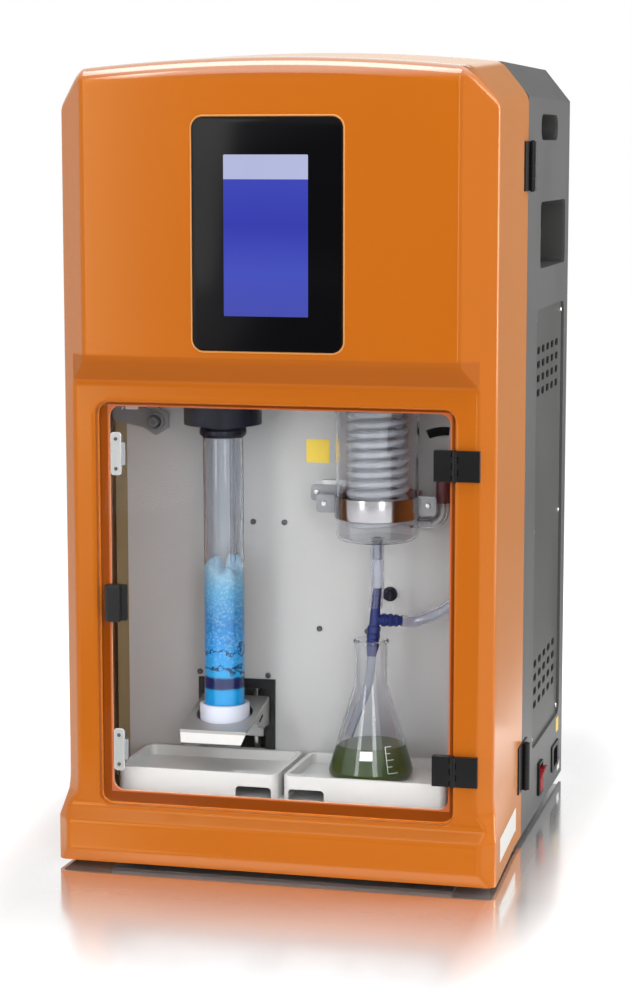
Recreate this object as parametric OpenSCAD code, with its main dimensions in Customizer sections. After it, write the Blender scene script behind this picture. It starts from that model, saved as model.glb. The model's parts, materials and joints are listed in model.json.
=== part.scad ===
// Kjeldahl distillation unit for the bench, in millimetres.
// X runs to the right, Y to the back, Z up; the origin lies on the bench under the middle of the box.
// Places along Y are measured from the seam between the front cover and the rear housing.

/* [Overall] */
// Width of the front cover and of the rear housing
body_w = 440; // [400:1:480]
// Depth of the front cover, from the seam to the screen face
cover_d = 205; // [200:1:240]
// Depth of the rear housing behind the seam
housing_d = 290; // [280:1:360]
// Height of the lower edge of both shells above the bench
ground_gap = 6; // [4:1:12]
// Height of the upright side walls at the seam
side_top_z = 776; // [770:1:840]
// Width of the sloped top corners
corner_w = 28; // [15:1:45]
// Height of the sloped top corners
corner_h = 35; // [15:1:50]
// Rise of the arched top between its corners
crown_rise = 10; // [4:1:20]
// Gap of the seam between cover and housing
seam_gap = 0.8; // [0.4:0.1:2]

/* [Front cover] */
// Wall of the moulded front cover
cover_wall = 3.5; // [2.5:0.5:5]
// Drop of the top from the seam to the front
front_drop = 11; // [0:1:20]
// Fillet between the top and the screen face
top_fillet = 15; // [6:1:25]
// Distance of the side crease from the seam
crease_q = 171; // [160:1:180]
// How far the screen face lies inside the side walls
face_inset = 32; // [20:1:45]
// Distance of the window frame face from the seam
frame_q = 188; // [184:1:195]
// Distance of the base face from the seam
base_q = 204; // [198:1:215]
// How much wider the base is at each front corner
base_flare = 6; // [0:1:10]
// Height of the upper edge of the base face
base_top_z = 50; // [40:1:54]
// Height where the sloped ledge above the base ends
ledge_z = 62; // [56:1:66]
// Height where the bulge begins above the window
waist_z = 494; // [488:1:500]
// Height of the lower edge of the screen face
bulge_z = 516; // [506:1:524]

/* [Window and door] */
// Width of the clear door
door_w = 362; // [340:1:370]
// Height of the clear door
door_h = 409; // [390:1:412]
// Height of the lower edge of the door
door_z = 65; // [64:1:70]
// Thickness of the clear door
door_t = 4; // [3:0.5:6]
// Depth of the door face below the frame face
door_sink = 4; // [2:0.5:6]
// Gap round the door in its recess
door_gap = 1; // [0.5:0.1:2]
// Corner radius of the door
door_r = 11; // [6:1:20]
// Thickness of the lip that the door closes on
lip_t = 4; // [3:0.5:8]
// Width of the lip at the left edge
lip_left = 11; // [8:1:16]
// Width of the lip at the right edge
lip_right = 5; // [3:1:10]
// Width of the lip at the upper edge
lip_top = 4; // [3:1:10]
// Width of the lip at the lower edge
lip_low = 13; // [8:1:16]
// Height of one door hinge
door_hinge_h = 30; // [24:1:40]
// Width of one leaf of a door hinge
door_leaf_w = 17; // [12:1:22]
// Distance of the door hinge axis in front of the frame face
door_axis_out = 3.5; // [3.4:0.1:5]
// Radius of the door hinge knuckles
door_knuckle_r = 3.2; // [2.6:0.1:3.2]
// Radius of the door hinge pins
door_pin_r = 1.3; // [0.8:0.1:1.6]
// Width of the pull handle
handle_w = 22; // [16:1:30]
// Height of the pull handle
handle_h = 37; // [28:1:50]
// Depth of the pull handle
handle_d = 15; // [10:1:22]
// Width of a catch plate
catch_w = 11; // [8:1:14]
// Height of a catch plate
catch_h = 43; // [30:1:50]

/* [Screen] */
// Width of the glossy screen bezel
bezel_w = 150; // [130:1:180]
// Height of the glossy screen bezel
bezel_h = 225; // [200:1:235]
// Height of the lower edge of the bezel
bezel_z = 529; // [526:1:540]
// Thickness of the bezel
bezel_t = 2; // [1:0.5:4]
// Rim of the cover behind the edge of the bezel
bezel_rim = 6; // [4:1:12]
// Depth of the display module behind the bezel
display_d = 16; // [10:1:30]

/* [Cover hinge] */
// Height of one cover hinge
hinge_h = 50; // [36:1:70]
// Height of the middle of the upper cover hinge
hinge_top_z = 706; // [600:1:720]
// Height of the middle of the lower cover hinge
hinge_low_z = 82; // [70:1:200]
// Radius of the cover hinge knuckles
knuckle_r = 4.2; // [3.5:0.1:6]
// Radius of the cover hinge pins
pin_r = 2; // [1.2:0.1:2.6]
// Width of one leaf of a cover hinge
leaf_w = 22; // [14:1:30]
// Thickness of one leaf of a cover hinge
leaf_t = 1.6; // [1:0.1:2.5]
// Running clearance of hinge pins, the latch shaft and the lifter bores
run_gap = 0.06; // [0.02:0.01:0.1]

/* [Rear housing] */
// Wall of the rear housing
housing_wall = 3; // [2:0.5:5]
// Distance of the vent panel's front edge from the seam
vent_y = 68; // [50:1:80]
// Width of the vent panel opening
vent_w = 196; // [180:1:200]
// Height of the lower edge of the vent panel opening
vent_z = 82; // [76:1:90]
// Height of the vent panel opening
vent_h = 473; // [450:1:480]
// Columns of vent slots
vent_columns = 5; // [3:1:6]
// Rows of vent slots in each group
vent_rows = 4; // [2:1:6]
// Width of one vent slot
slot_w = 20; // [12:1:24]
// Height of one vent slot
slot_h = 8; // [4:1:10]
// Length of the grip opening
grip_w = 117; // [100:1:130]
// Height of the grip opening
grip_h = 27; // [22:1:32]
// Depth of the grip pocket
grip_d = 26; // [20:1:40]
// Length of the connection pocket
pocket_w = 178; // [150:1:180]
// Height of the connection pocket
pocket_h = 70; // [60:1:76]
// Depth of the connection pocket
pocket_d = 30; // [20:1:45]
// Length of the rear hose ports past the housing
port_l = 15; // [8:1:25]

/* [Power] */
// Width of the rocker bezel
switch_w = 26; // [24:1:32]
// Height of the rocker bezel
switch_h = 37; // [35:1:44]
// Width of the power inlet flange
inlet_w = 50; // [46:1:56]
// Height of the power inlet flange
inlet_h = 30; // [28:1:34]

/* [Chamber] */
// Distance of the chamber back wall in front of the seam
bulkhead_q = 40; // [36:1:44]
// Distance of the edges of the chamber back wall in from the sides of the body
bulkhead_in = 13; // [12:1:22]
// Sheet of the back wall and of the floor
sheet_t = 2.5; // [1.5:0.5:4]
// Height of the top of the chamber floor
floor_z = 71; // [68:1:74]
// Distance of the floor's front edge from the seam
floor_q = 165; // [162:1:168]
// Width of the chamber floor
floor_w = 356; // [350:1:362]

/* [Digestion tube] */
// Place of the digestion tube along X
tube_x = -78; // [-90:1:-70]
// Distance of the tube and condenser axes in front of the seam
glass_q = 88; // [86:1:96]
// Outer diameter of the digestion tube
tube_od = 41; // [38:1:43]
// Glass wall of the digestion tube
tube_wall = 2; // [1.5:0.1:2.5]
// Height of the upper rim of the digestion tube
tube_top_z = 430; // [415:1:434]
// Height of the seat of the tube cup
seat_z = 131; // [129:1:134]
// Outer diameter of the tube cup
cup_od = 51; // [48:1:54]
// Height of the tube cup
cup_h = 24; // [18:1:30]
// Diameter of the stopper block
block_od = 79; // [70:1:86]
// Height of the stopper block
block_h = 34; // [25:1:45]
// Diameter of the sealing collar on the tube rim
collar_od = 48; // [46:1:56]
// Height of the sealing collar
collar_h = 13; // [8:1:18]
// Length of the stopper plug inside the tube
plug_l = 5; // [4:1:18]
// Bore of the stopper for vapour
vapour_bore = 11; // [9:1:12]
// Diameter of the steam tube
steam_od = 6; // [4:0.5:7]

/* [Lifter] */
// Width of the tilted lifter plate
plate_w = 72; // [66:1:78]
// Downward slope of the lifter plate to the front, in degrees
plate_tilt = 13; // [8:1:18]
// Height of the folded front lip
plate_lip = 17; // [8:1:18]
// Sheet of the lifter plate
plate_t = 1.5; // [1:0.5:2.5]
// Downward travel of the lifter
lift_travel = 20; // [10:1:20]
// Diameter of the guide rods
rod_d = 8; // [6:1:10]
// Distance between the guide rods
rod_pitch = 34; // [28:1:40]

/* [Condenser] */
// Place of the condenser along X
cond_x = 82; // [74:1:90]
// Outer diameter of the condenser jacket
jacket_od = 83; // [78:1:84]
// Glass wall of the jacket
jacket_wall = 2.2; // [1.5:0.1:3]
// Height of the lower end of the jacket
jacket_z = 330; // [326:1:332]
// Length of the jacket between its shoulders
jacket_h = 310; // [300:1:320]
// Radius of the upper shoulder of the jacket
shoulder_r = 22; // [14:1:28]
// Radius of the lower edge of the jacket
jacket_foot_r = 8; // [5:0.5:8]
// Middle diameter of the coil
coil_d = 56; // [50:1:58]
// Diameter of the coil tube
coil_tube = 7; // [5:0.5:7]
// Rise of the coil in one loop
coil_pitch = 10; // [9:0.1:10]
// Full loops of the coil
coil_loops = 24; // [12:1:24]
// Height of the first loop of the coil
coil_z = 344; // [341:1:347]
// Outer diameter of the coolant side arms
arm_od = 11; // [10:0.5:12]
// Height of the clamp band
band_h = 22; // [18:1:24]
// Sheet of the clamp band
band_t = 1.5; // [1:0.1:2.5]

/* [Receiver] */
// Outer diameter of the outlet hose
outlet_od = 13.6; // [12:0.1:15]
// Height of the upper end of the tee connector
tee_top_z = 280; // [274:1:284]
// Height of the tee's side arm
tee_arm_z = 248; // [246:1:252]
// Height of the lower end of the tee
tee_low_z = 211; // [206:1:216]
// Place of the flask along X
flask_x = 77; // [74:1:80]
// Distance of the flask axis in front of the seam
flask_q = 93; // [91:1:97]
// Diameter of the flask at its base
flask_od = 85; // [80:1:88]
// Height of the flask
flask_h = 141.5; // [136:0.5:144]
// Outer diameter of the flask's neck
neck_od = 33; // [32:1:36]
// Glass wall of the flask
flask_wall = 2; // [1.5:0.1:2.5]

/* [Trays] */
// Length of one drip tray
tray_w = 168; // [150:1:170]
// Gap between the two trays
tray_split = 6; // [4:1:10]
// Distance of the front of the trays from the seam
tray_q = 156; // [154:1:158]
// Depth of the trays
tray_d = 112; // [106:1:114]
// Height of the trays
tray_h = 26; // [20:1:26]
// Wall of the trays
tray_wall = 2.5; // [2:0.5:4]
// Width of the finger notch
notch_w = 37; // [25:1:45]
// Depth of the finger notch
notch_h = 12.5; // [8:0.5:12.5]
// Depth of the basin in a tray
basin_h = 10.5; // [6:0.5:10.5]

/* [Latch] */
// Distance of the latch shaft in from the side of the body
latch_in = 61; // [58:1:70]
// Height of the latch shaft
latch_z = 439; // [420:1:450]
// Reach of the latch arm past its shaft
latch_l = 48; // [30:1:48]
// Width of the latch arm
latch_w = 20; // [14:1:22]
// Diameter of the latch shaft
latch_d = 10; // [8:1:12]
// Diameter of the latch's hexagon nut over its corners
latch_nut_d = 30; // [24:1:32]
// Rise of the latch arm away from its shaft, in degrees
latch_lean = 10; // [0:1:15]

/* [Base and inside] */
// Thickness of the base plate
base_t = 3; // [2:0.5:5]
// Diameter of a foot
foot_d = 30; // [20:1:40]
// Height of the feet
foot_h = 8; // [6:1:8]
// Diameter of the steam generator
boiler_d = 120; // [90:1:140]
// Height of the steam generator
boiler_h = 220; // [160:1:260]

/* [Hidden] */
$fn = 64;

// A hair between pieces that rest on each other, and a cut's reach past a face
rest_gap = 0.2;
over = 1;

// The shell forms
hw = body_w / 2;
y_seam = (cover_d + bezel_t - housing_d - port_l) / 2;
corner_l = norm([corner_w, corner_h]);
top_z = side_top_z + corner_h + crown_rise;
arch_half = hw - corner_w;
arch_r = (arch_half * arch_half + crown_rise * crown_rise) / (2 * crown_rise);
arch_z = top_z - arch_r;
arch_band = corner_h + crown_rise + 45;
arch_span = 2 * asin(hw / (arch_r - arch_band)) + 6;
shoulder_z = side_top_z - 20;
top_tilt = atan(front_drop / cover_d);
flare_q = 40;
skim = 0.02;

// The rear panel, set in from the housing's back edge, and the hose ports on it
panel_in = 5;
panel_t = 3;
panel_y = housing_d - panel_in;
port_xs = [-120, -60, 0, 60];
port_z = 120;
port_od = 12;
port_nut_d = 22;
port_nut_h = 5;

// The door and its recess
door_q = frame_q - door_sink;
lip_q = door_q - door_t;
frame_w = 8;
door_top_z = door_z + door_h;
door_axis_x = door_w / 2 + 1.5;
door_axis_q = frame_q + door_axis_out;
door_hinge_zs = [door_z + 55, door_top_z - 53];
catch_zs = [door_z + 55, door_top_z - 52];
catch_x = -door_w / 2 + lip_left + door_gap + catch_w / 2;
handle_z = door_z + 208;

// The cover hinge
hinge_x = hw + knuckle_r + 0.3;
hinge_zs = [hinge_low_z, hinge_top_z];
leaf_gap = 0.5;
cover_knuckles = 4;
door_knuckles = 5;
web_half = 2;
door_leaf_gap = 0.4;
leaf_out = door_axis_out + web_half;

// The side of the housing
vent_centre = [vent_y + vent_w / 2, vent_z + vent_h / 2];
vent_pitch = [32, 15];
vent_r = 12;
vent_lap = 6;
vent_t = 2;
vent_groups = [vent_z + 66, vent_z + 406];
grip_centre = [142, side_top_z - 30];
pocket_centre = [vent_y + 107, 633];
switch_centre = [120, 40];
inlet_centre = [232, 38];
grip_r = grip_h / 2 - 1;
pocket_r = 8;
cup_wall = 2;
side_port_ys = [-58, -22];

// The power inlet: its flange, its socket and the blades in it
flange_t = 2;
inlet_d = 26;
socket = [28, 20];
socket_d = 16;
blade = [2, 5];
blade_l = 12;
blade_pitch = 7;
blade_rise = 3;

// The rocker's bezel, its opening and the rocker's pivot
switch_lip = 3;
switch_d = 18;
switch_bore = 14;
rocker_hole = [switch_w - 6, switch_h - 6];
rocker_x = hw + 1;
rocker_tilt = 9;
axle_d = 3;

// The chamber
latch_x = latch_in - hw;
base_z = foot_h;
base_top = base_z + base_t;
tray_z = floor_z + rest_gap;
slot_half = 31;
slot_low_z = seat_z - lift_travel - 14;
slot_top_z = seat_z + 30;
trim_w = 10;
trim_t = 3;
flange_l = 22;

// The curved slot in the chamber wall: the middle of its arc, its middle radius, its width and its two ends
arc_centre = [140, 394];
arc_r = 41;
arc_w = 9;
arc_ends = [84, 116];
glass = [tube_x, -glass_q];
cond = [cond_x, -glass_q];

// The stopper stands on the tube rim, and the head stands on the stopper
collar_z = tube_top_z + rest_gap;
block_z = collar_z + collar_h;
block_top = block_z + block_h;
steam_x = tube_x + vapour_bore / 2 + steam_od / 2 + 1;
steam_turn_r = 14;
steam_turn_z = block_top + 8;
steam_low_z = seat_z + 42;
steam_out_y = -bulkhead_q + 6;
stay_half = 18;
stay_in = 4;
plug_play = 3;
plug_taper = 4;
stem_in = 10;
head_od = 18;
stem_od = vapour_bore - 2 * rest_gap;
head_wall = 1.6;
bulb_r = 29;
bulb_z = block_top + 78;
head_top_z = bulb_z + 62;
jacket_top = jacket_z + jacket_h;
jacket_neck_z = jacket_top + 14;
nipple_od = 10;
nipple_l = 20;
bridge_r = 26;
bridge_z = max(head_top_z, jacket_neck_z) + 40;
arm_low_z = coil_z;
arm_high_z = coil_z + (coil_loops + 0.5) * coil_pitch;
arm_reach = 18;
arm_turn_r = 12;
arm_rise = 28;
arm_in = 6;
arm_root_x = cond_x + sqrt(pow(jacket_od / 2, 2) - pow(coil_d / 2, 2));
arm_x = arm_root_x + arm_reach;
band_z = jacket_z + 34;

// The clamp's ears: side, reach, place behind the axis, lower and upper edge
ear_t = 2;
ears = [[-1, 18, 6, -4, 12], [-1, 14, -4, -12, 5], [1, 14, -4, -10, 8]];
strut_w = 12;
strut_pad = 8;
strut_t = 2;

// The steam generator stands on the right behind the chamber
boiler_x = hw - 130;
boiler_y = 150;
casing_t = 2;
boiler_neck_d = 14;
boiler_neck_h = 12;

// The reagent pump and the power supply stand on the left
pump_low = [70 - hw, 80, base_top];
pump_size = [70, 80, 80];
pump_head_d = 50;
pump_head_l = 30;
supply_low = [50 - hw, 200, base_top];
supply_size = [120, 60, 120];

// The lifter
cup_floor = 5;
plate_front_q = glass_q + 44;
plate_back_q = bulkhead_q + 5;
plate_rise = 23;
plate_drop = 6;
plate_play = 7;
lip_cut = 8;
cheek_low_q = 72;
cheek_front_q = 108;
arm_t = 4;
arm_half = 20;
arm_front = 22;
cross_low_q = 50;
cross_high_q = 66;
cross_t = 6;
carriage_y = -bulkhead_q + sheet_t + 1.5;
carriage_low = 22;
carriage_rise = 16;
rod_y = -bulkhead_q + sheet_t + 13;
rod_xs = [tube_x - rod_pitch / 2, tube_x + rod_pitch / 2];
rod_cover = 9;
mount_h = 12;
mount_side = 11;
carriage_side = 10;
rod_low_z = slot_low_z - 40;
rod_top_z = slot_top_z + 30;

// Routes of the hoses, in places along X, behind the seam and up
nipple_out = 8;
hose_nut_d = 18;
hose_nut_h = 4;
hose_end_d = 12;
port_y = -bulkhead_q - nipple_out;
arm_end_x = arm_x + arm_turn_r;
low_y = -glass_q + coil_d / 2;
high_y = -glass_q - coil_d / 2;
feed_port = [170, 272];
lower_port = [arm_end_x, arm_low_z + 58];
upper_port = [arm_end_x, arm_high_z - 64];
tee_arm_l = 28;
tee_od = 12;
tee_arm_od = 13;
tee_tip_od = 8;
tee_tip_l = 10;
tee_bore = 5;
tee_side_bore = 4;
barb_l = 14;
low_barb_od = 10;
top_barb_od = 8;
top_barb_l = 11;

// The tee hangs from the outlet hose, leans to the left and to the front, and turns its arm to the back
tee_tilt = 4;
tee_lean = 3.5;
tee_turn = 30;
tee_drop = 0.6;
tee_side = [cos(tee_tilt), 0, -sin(tee_tilt)];
tee_back = [-sin(tee_lean) * sin(tee_tilt), cos(tee_lean), -sin(tee_lean) * cos(tee_tilt)];
tee_down = cross(tee_back, tee_side);
tee_out = cos(tee_turn) * tee_side + sin(tee_turn) * tee_back;

// A place on the tee at a height on its body and a distance out along its arm
function tee_at(z, out = 0) = [cond_x, -glass_q, tee_top_z] + (tee_top_z - z) * tee_down + out * tee_out;

delivery_od = 7;
feed_od = 12;
lower_hose_od = 12;
upper_hose_od = 11;
steam_hose_od = 10;
grommet = [84, 266];
grommet_d = 15;
grommet_t = 3;
grommet_stem = [8, 16];
end_leg = 1;
feed_route = [
    tee_at(tee_arm_z, tee_arm_l), tee_at(tee_arm_z, tee_arm_l + 13),
    [128, -65, 248], [140, -63, 253], [150.5, -64, 260.5],
    [feed_port.x - 10, port_y - 16.5, feed_port.y - 4.5], [feed_port.x - 2.5, port_y - 13, feed_port.y - 1],
    [feed_port.x, port_y - 6, feed_port.y], [feed_port.x, port_y, feed_port.y]
];
lower_route = [
    [arm_end_x, low_y, arm_low_z + arm_rise], [arm_end_x, low_y, arm_low_z + 40],
    [arm_end_x, low_y + 2, arm_low_z + 51],
    [arm_end_x, port_y - 5, arm_low_z + 58], [arm_end_x, port_y, arm_low_z + 58]
];
upper_route = [
    [arm_end_x, high_y, arm_high_z - arm_rise], [arm_end_x, high_y, arm_high_z - 43],
    [arm_end_x, high_y + 8, arm_high_z - 57], [arm_end_x, high_y + 24, upper_port.y],
    [arm_end_x, port_y - 12, upper_port.y], [arm_end_x, port_y, upper_port.y]
];
steam_route = [
    [steam_x, steam_out_y, steam_turn_z + steam_turn_r],
    [steam_x, steam_out_y + 12, steam_turn_z + steam_turn_r],
    [-50, 10, 480], [20, 90, 420], [80, 140, 340], [boiler_x, boiler_y, base_top + boiler_h + 40],
    [boiler_x, boiler_y, base_top + boiler_h + boiler_neck_h]
];
delivery_route = [
    tee_at(tee_low_z), tee_at(tee_low_z - 16),
    [72.5, -93.5, 176], [62, -94, 150], [54, -94, 128]
];

// A corner b between a and c, rounded to radius r with n steps
function corner_arc(a, b, c, r, n = 5) =
    let (u = (a - b) / norm(a - b), v = (c - b) / norm(c - b))
    let (half = acos(u * v) / 2, m = (u + v) / norm(u + v))
    let (centre = b + m * r / sin(half))
    let (p = b + u * r / tan(half) - centre, q = b + v * r / tan(half) - centre)
    let (start = atan2(p.y, p.x), sweep = atan2(cross(p, q), p * q))
    [for (i = [0 : n]) centre + r * [cos(start + sweep * i / n), sin(start + sweep * i / n)]];

// A closed outline of [x, y, radius] with its corners rounded
function rounded(points) =
    let (n = len(points), flat = [for (p = points) [p.x, p.y]])
    [for (i = [0 : n - 1])
        each (points[i].z > 0
            ? corner_arc(flat[(i + n - 1) % n], flat[i], flat[(i + 1) % n], points[i].z)
            : [flat[i]])];

// A line of [x, y, radius] with its inner corners rounded
function rounded_line(points) =
    let (n = len(points), flat = [for (p = points) [p.x, p.y]])
    [for (i = [0 : n - 1])
        each (i > 0 && i < n - 1 && points[i].z > 0
            ? corner_arc(flat[i - 1], flat[i], flat[i + 1], points[i].z)
            : [flat[i]])];

// A value read off a list of [at, value] pairs, straight between them
function between(pairs, at, i = 0) =
    at <= pairs[i][0] || len(pairs) == i + 1
        ? pairs[i][1]
        : at < pairs[i + 1][0]
            ? let (a = pairs[i], b = pairs[i + 1]) a[1] + (b[1] - a[1]) * (at - a[0]) / (b[0] - a[0])
            : between(pairs, at, i + 1);

// Points on a smooth curve through a route, with n steps on each stretch
function smooth_route(p, n = 4) =
    [for (i = [0 : len(p) - 2], k = [0 : n - 1])
        let (a = p[max(i - 1, 0)], b = p[i], c = p[i + 1], d = p[min(i + 2, len(p) - 1)], t = k / n)
        b + 0.5 * t * ((c - a) + (2 * a - 5 * b + 4 * c - d) * t + (3 * b - a - 3 * c + d) * t * t),
     p[len(p) - 1]];

function unit(v) = v / norm(v);

// The middle line of a hose: a smooth curve with a short straight leg at each end
function hose_line(p, n = 4) =
    let (path = smooth_route(p, n), m = len(p) - 1, last = len(path) - 1)
    concat(
        [path[0], path[0] + end_leg * unit(p[1] - p[0])],
        [for (i = [1 : last - 1]) path[i]],
        [path[last] + end_leg * unit(p[m - 1] - p[m]), path[last]]
    );

// The frame carried along a path without twist: a list of side vectors
function carried_sides(path, i = 0, side = undef, done = []) =
    i == len(path)
        ? done
        : let (t = unit(path[min(i + 1, len(path) - 1)] - path[max(i - 1, 0)]))
          let (old = side == undef ? (abs(t.x) < 0.8 ? [1, 0, 0] : [0, 0, 1]) : side)
          let (now = unit(old - (old * t) * t))
          carried_sides(path, i + 1, now, concat(done, [now]));

// One closed tube swept along a path
module swept_tube(path, d, sides = 8) {
    n = len(path);
    side = carried_sides(path);
    rings = [for (i = [0 : n - 1])
        let (t = unit(path[min(i + 1, n - 1)] - path[max(i - 1, 0)]), up = cross(t, side[i]))
        for (k = [0 : sides - 1])
            let (a = 360 * k / sides)
            path[i] + d / 2 * (cos(a) * side[i] + sin(a) * up)];
    walls = [for (i = [0 : n - 2], k = [0 : sides - 1])
        let (a = i * sides + k, b = i * sides + (k + 1) % sides)
        each [[a, a + sides, b], [b, a + sides, b + sides]]];
    ends = [
        for (k = [1 : sides - 2]) each [
            [0, k, k + 1],
            [(n - 1) * sides, (n - 1) * sides + k + 1, (n - 1) * sides + k]
        ]
    ];
    polyhedron(rings, concat(walls, ends));
}

// Draws in places measured from the seam
module on_seam() { translate([0, y_seam, 0]) children(); }

// Extrudes an outline of [x, z] from one place along Y back to another
module along_y(y0, y1) { translate([0, y1, 0]) rotate([90, 0, 0]) linear_extrude(y1 - y0) children(); }

// Extrudes an outline of [y, z] from one place along X to another
module along_x(x0, x1) { translate([x0, 0, 0]) rotate([90, 0, 90]) linear_extrude(x1 - x0) children(); }

// A box from its lower to its upper corner
module block(low, high) { translate(low) cube(high - low); }

// A rounded rectangle about a centre
module round_rect(size, r) {
    square([size.x - 2 * r, size.y], center = true);
    square([size.x, size.y - 2 * r], center = true);
    for (x = [-1, 1], y = [-1, 1]) translate([x * (size.x / 2 - r), y * (size.y / 2 - r)]) circle(r);
}

// A round bar between two heights
module upright(at, z0, z1, d) { translate([at.x, at.y, z0]) cylinder(d = d, h = z1 - z0); }

// A quarter of a ring of round section: it leaves the origin up along Z and ends running along X
module quarter_turn(r, d) {
    translate([r, 0, 0]) rotate([90, 0, 0]) rotate([0, 0, 90])
        rotate_extrude(angle = 90) translate([r, 0]) circle(d = d);
}

// Upright sides and sloped top corners, set in by an inset, from a depth below the corners
module corner_prism(inset, y0, y1, depth, tilt = 0) {
    meet = -inset * (corner_l - corner_h) / corner_w;
    run = 2 * corner_w;
    rise = run * corner_h / corner_w;
    x = hw - inset;
    translate([0, 0, side_top_z]) rotate([tilt, 0, 0]) along_y(y0, y1)
        polygon([
            [-x, -depth], [x, -depth], [x, meet],
            [x - run, meet + rise], [run - x, meet + rise], [-x, meet]
        ]);
}

// A solid bent along the arched top: its outline is [distance from the arch's centre, y]
module arch_body(outline) {
    translate([0, 0, arch_z]) rotate([-90, 0, 0]) rotate([0, 0, -90 - arch_span / 2])
        rotate_extrude(angle = arch_span, $fn = 720) polygon(outline);
}

// All that lies below the arched top and its sloped corners, with upright sides of a half width below them
module crown(inset, half, y0, y1, z0, tilt, outline) {
    intersection() {
        corner_prism(inset, y0, y1, arch_band, tilt);
        arch_body(outline);
    }
    block([-half, y0, z0], [half, y1, shoulder_z]);
}

// The housing's form between two places, set in by an inset
module housing_form(inset, y0, y1, z0) {
    low = arch_r - inset;
    high = arch_r + arch_band;
    difference() {
        corner_prism(inset, y0, y1, side_top_z - z0);
        arch_body([[low, y0 - over], [high, y0 - over], [high, y1 + over], [low, y1 + over]]);
    }
}

// The line of the cover's front, as [distance from the seam, height], set in by an inset
function cover_front(inset, z0) = rounded_line([
    [base_q - inset - 9, z0, 0],
    [base_q - inset, z0 + 15, 10],
    [base_q - inset, base_top_z, 8],
    [frame_q - inset, ledge_z, 10],
    [frame_q - inset, waist_z, 14],
    [cover_d - inset, bulge_z, 10],
    [cover_d - inset, top_z + 40, 0]
]);

// One level outline of the cover: its side creases, its sloped flanks and its face
function cover_ring(inset, back, q, z) =
    let (flare = between([[ledge_z - 6, base_flare], [ledge_z + 28, 0]], z))
    let (crease = between([[base_top_z, base_q - 15], [ledge_z + 12, crease_q]], z) - inset / 2)
    let (slope = (cover_d - crease_q) / face_inset, x = hw - inset)
    let (depth = q - crease, in = max(depth / slope, 4), r = min(9, norm([in, depth])))
    rounded([
        [-x, back, 0], [x, back, 0], [x, flare_q, 0], [x + flare, crease, r], [x + flare - in, q, r],
        [in - x - flare, q, r], [-x - flare, crease, r], [-x, flare_q, 0]
    ]);

// The lofted skin of the cover, closed at both ends
module cover_loft(inset, back, z0) {
    line = cover_front(inset, z0);
    rings = [for (p = line) [for (v = cover_ring(inset, back, p.x, p.y)) [v.x, -v.y, p.y]]];
    m = len(rings[0]);
    n = len(rings);
    walls = [for (i = [0 : n - 2], k = [0 : m - 1])
        let (a = i * m + k, b = i * m + (k + 1) % m)
        each [[a, b, a + m], [b, b + m, a + m]]];
    ends = [[for (k = [0 : m - 1]) m - 1 - k], [for (k = [0 : m - 1]) (n - 1) * m + k]];
    polyhedron([for (ring = rings) each ring], concat(walls, ends));
}

// The cover's form: the loft below the arched top
module cover_form(inset, back, z0) {
    low = arch_r - arch_band;
    front = inset - cover_d - skim;
    drop = arch_r - front_drop - inset;
    outline = rounded([
        [low, -back, 0], [arch_r - inset, -back, 0], [drop, front, top_fillet - inset], [low, front, 0]
    ]);
    intersection() {
        cover_loft(inset, back, z0);
        crown(inset, hw + base_flare, front, -back, z0, top_tilt, outline);
    }
}

// A hinge knuckle's segments along its axis, even or odd ones, less the gaps between them
module knuckles(at, z0, h, count, odd, r) {
    step = h / count;
    for (i = [odd : 2 : count - 1])
        upright(at, z0 + i * step + run_gap, z0 + (i + 1) * step - run_gap, 2 * r);
}

// Webs that join the knuckles to their leaf
module knuckle_webs(low, high, z0, h, count, odd) {
    step = h / count;
    for (i = [odd : 2 : count - 1])
        block([low.x, low.y, z0 + i * step + run_gap], [high.x, high.y, z0 + (i + 1) * step - run_gap]);
}

// An opening in the right side wall, or in the left one
module side_opening(centre, size, r, side = 1) {
    mirror([side < 0 ? 1 : 0, 0, 0]) along_x(hw - housing_wall - over, hw + over)
        translate(centre) round_rect(size, r);
}

// A cup behind an opening in the side wall, with a rim that laps the wall
module side_cup(centre, size, r, depth) {
    inner = hw - housing_wall;
    lap = 2 * cup_wall;
    difference() {
        along_x(inner - depth, inner) translate(centre) round_rect(size + 2 * [lap, lap], r + cup_wall);
        along_x(inner - depth + cup_wall, inner + over) translate(centre) round_rect(size, r);
    }
}

module rear_housing() {
    vents = [vent_w, vent_h];
    color("gray") on_seam() difference() {
        housing_form(0, 0, housing_d, ground_gap);
        housing_form(housing_wall, -over, housing_d + over, -over);
        for (side = [-1, 1]) {
            side_opening(vent_centre, vents, vent_r, side);
            side_opening(grip_centre, [grip_w, grip_h], grip_r, side);
        }
        side_opening(pocket_centre, [pocket_w, pocket_h], pocket_r);
        side_opening(switch_centre, [switch_w - 2, switch_h - 2], 2);
        side_opening(inlet_centre, [inlet_w - 5, inlet_h - 5], 3);
    }
}

module base_plate() {
    half = hw - housing_wall - rest_gap;
    color("silver") on_seam() {
        block([-half, 0, base_z], [half, panel_y - panel_t, base_top]);
        block([-floor_w / 2, -floor_q, base_z], [floor_w / 2, 0, base_top]);
    }
}

module rear_panel() {
    color("gray") on_seam() housing_form(housing_wall + rest_gap, panel_y - panel_t, panel_y, base_z);
}

module rear_ports() {
    color("dimgray") on_seam() for (x = port_xs) translate([x, panel_y, port_z]) rotate([-90, 0, 0]) {
        cylinder(d = port_nut_d, h = port_nut_h, $fn = 6);
        cylinder(d = port_od, h = panel_in + port_l);
    }
}

module vent_slot(size) {
    square([size.x - size.y, size.y], center = true);
    for (x = [-1, 1]) translate([x * (size.x - size.y) / 2, 0]) circle(d = size.y);
}

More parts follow.
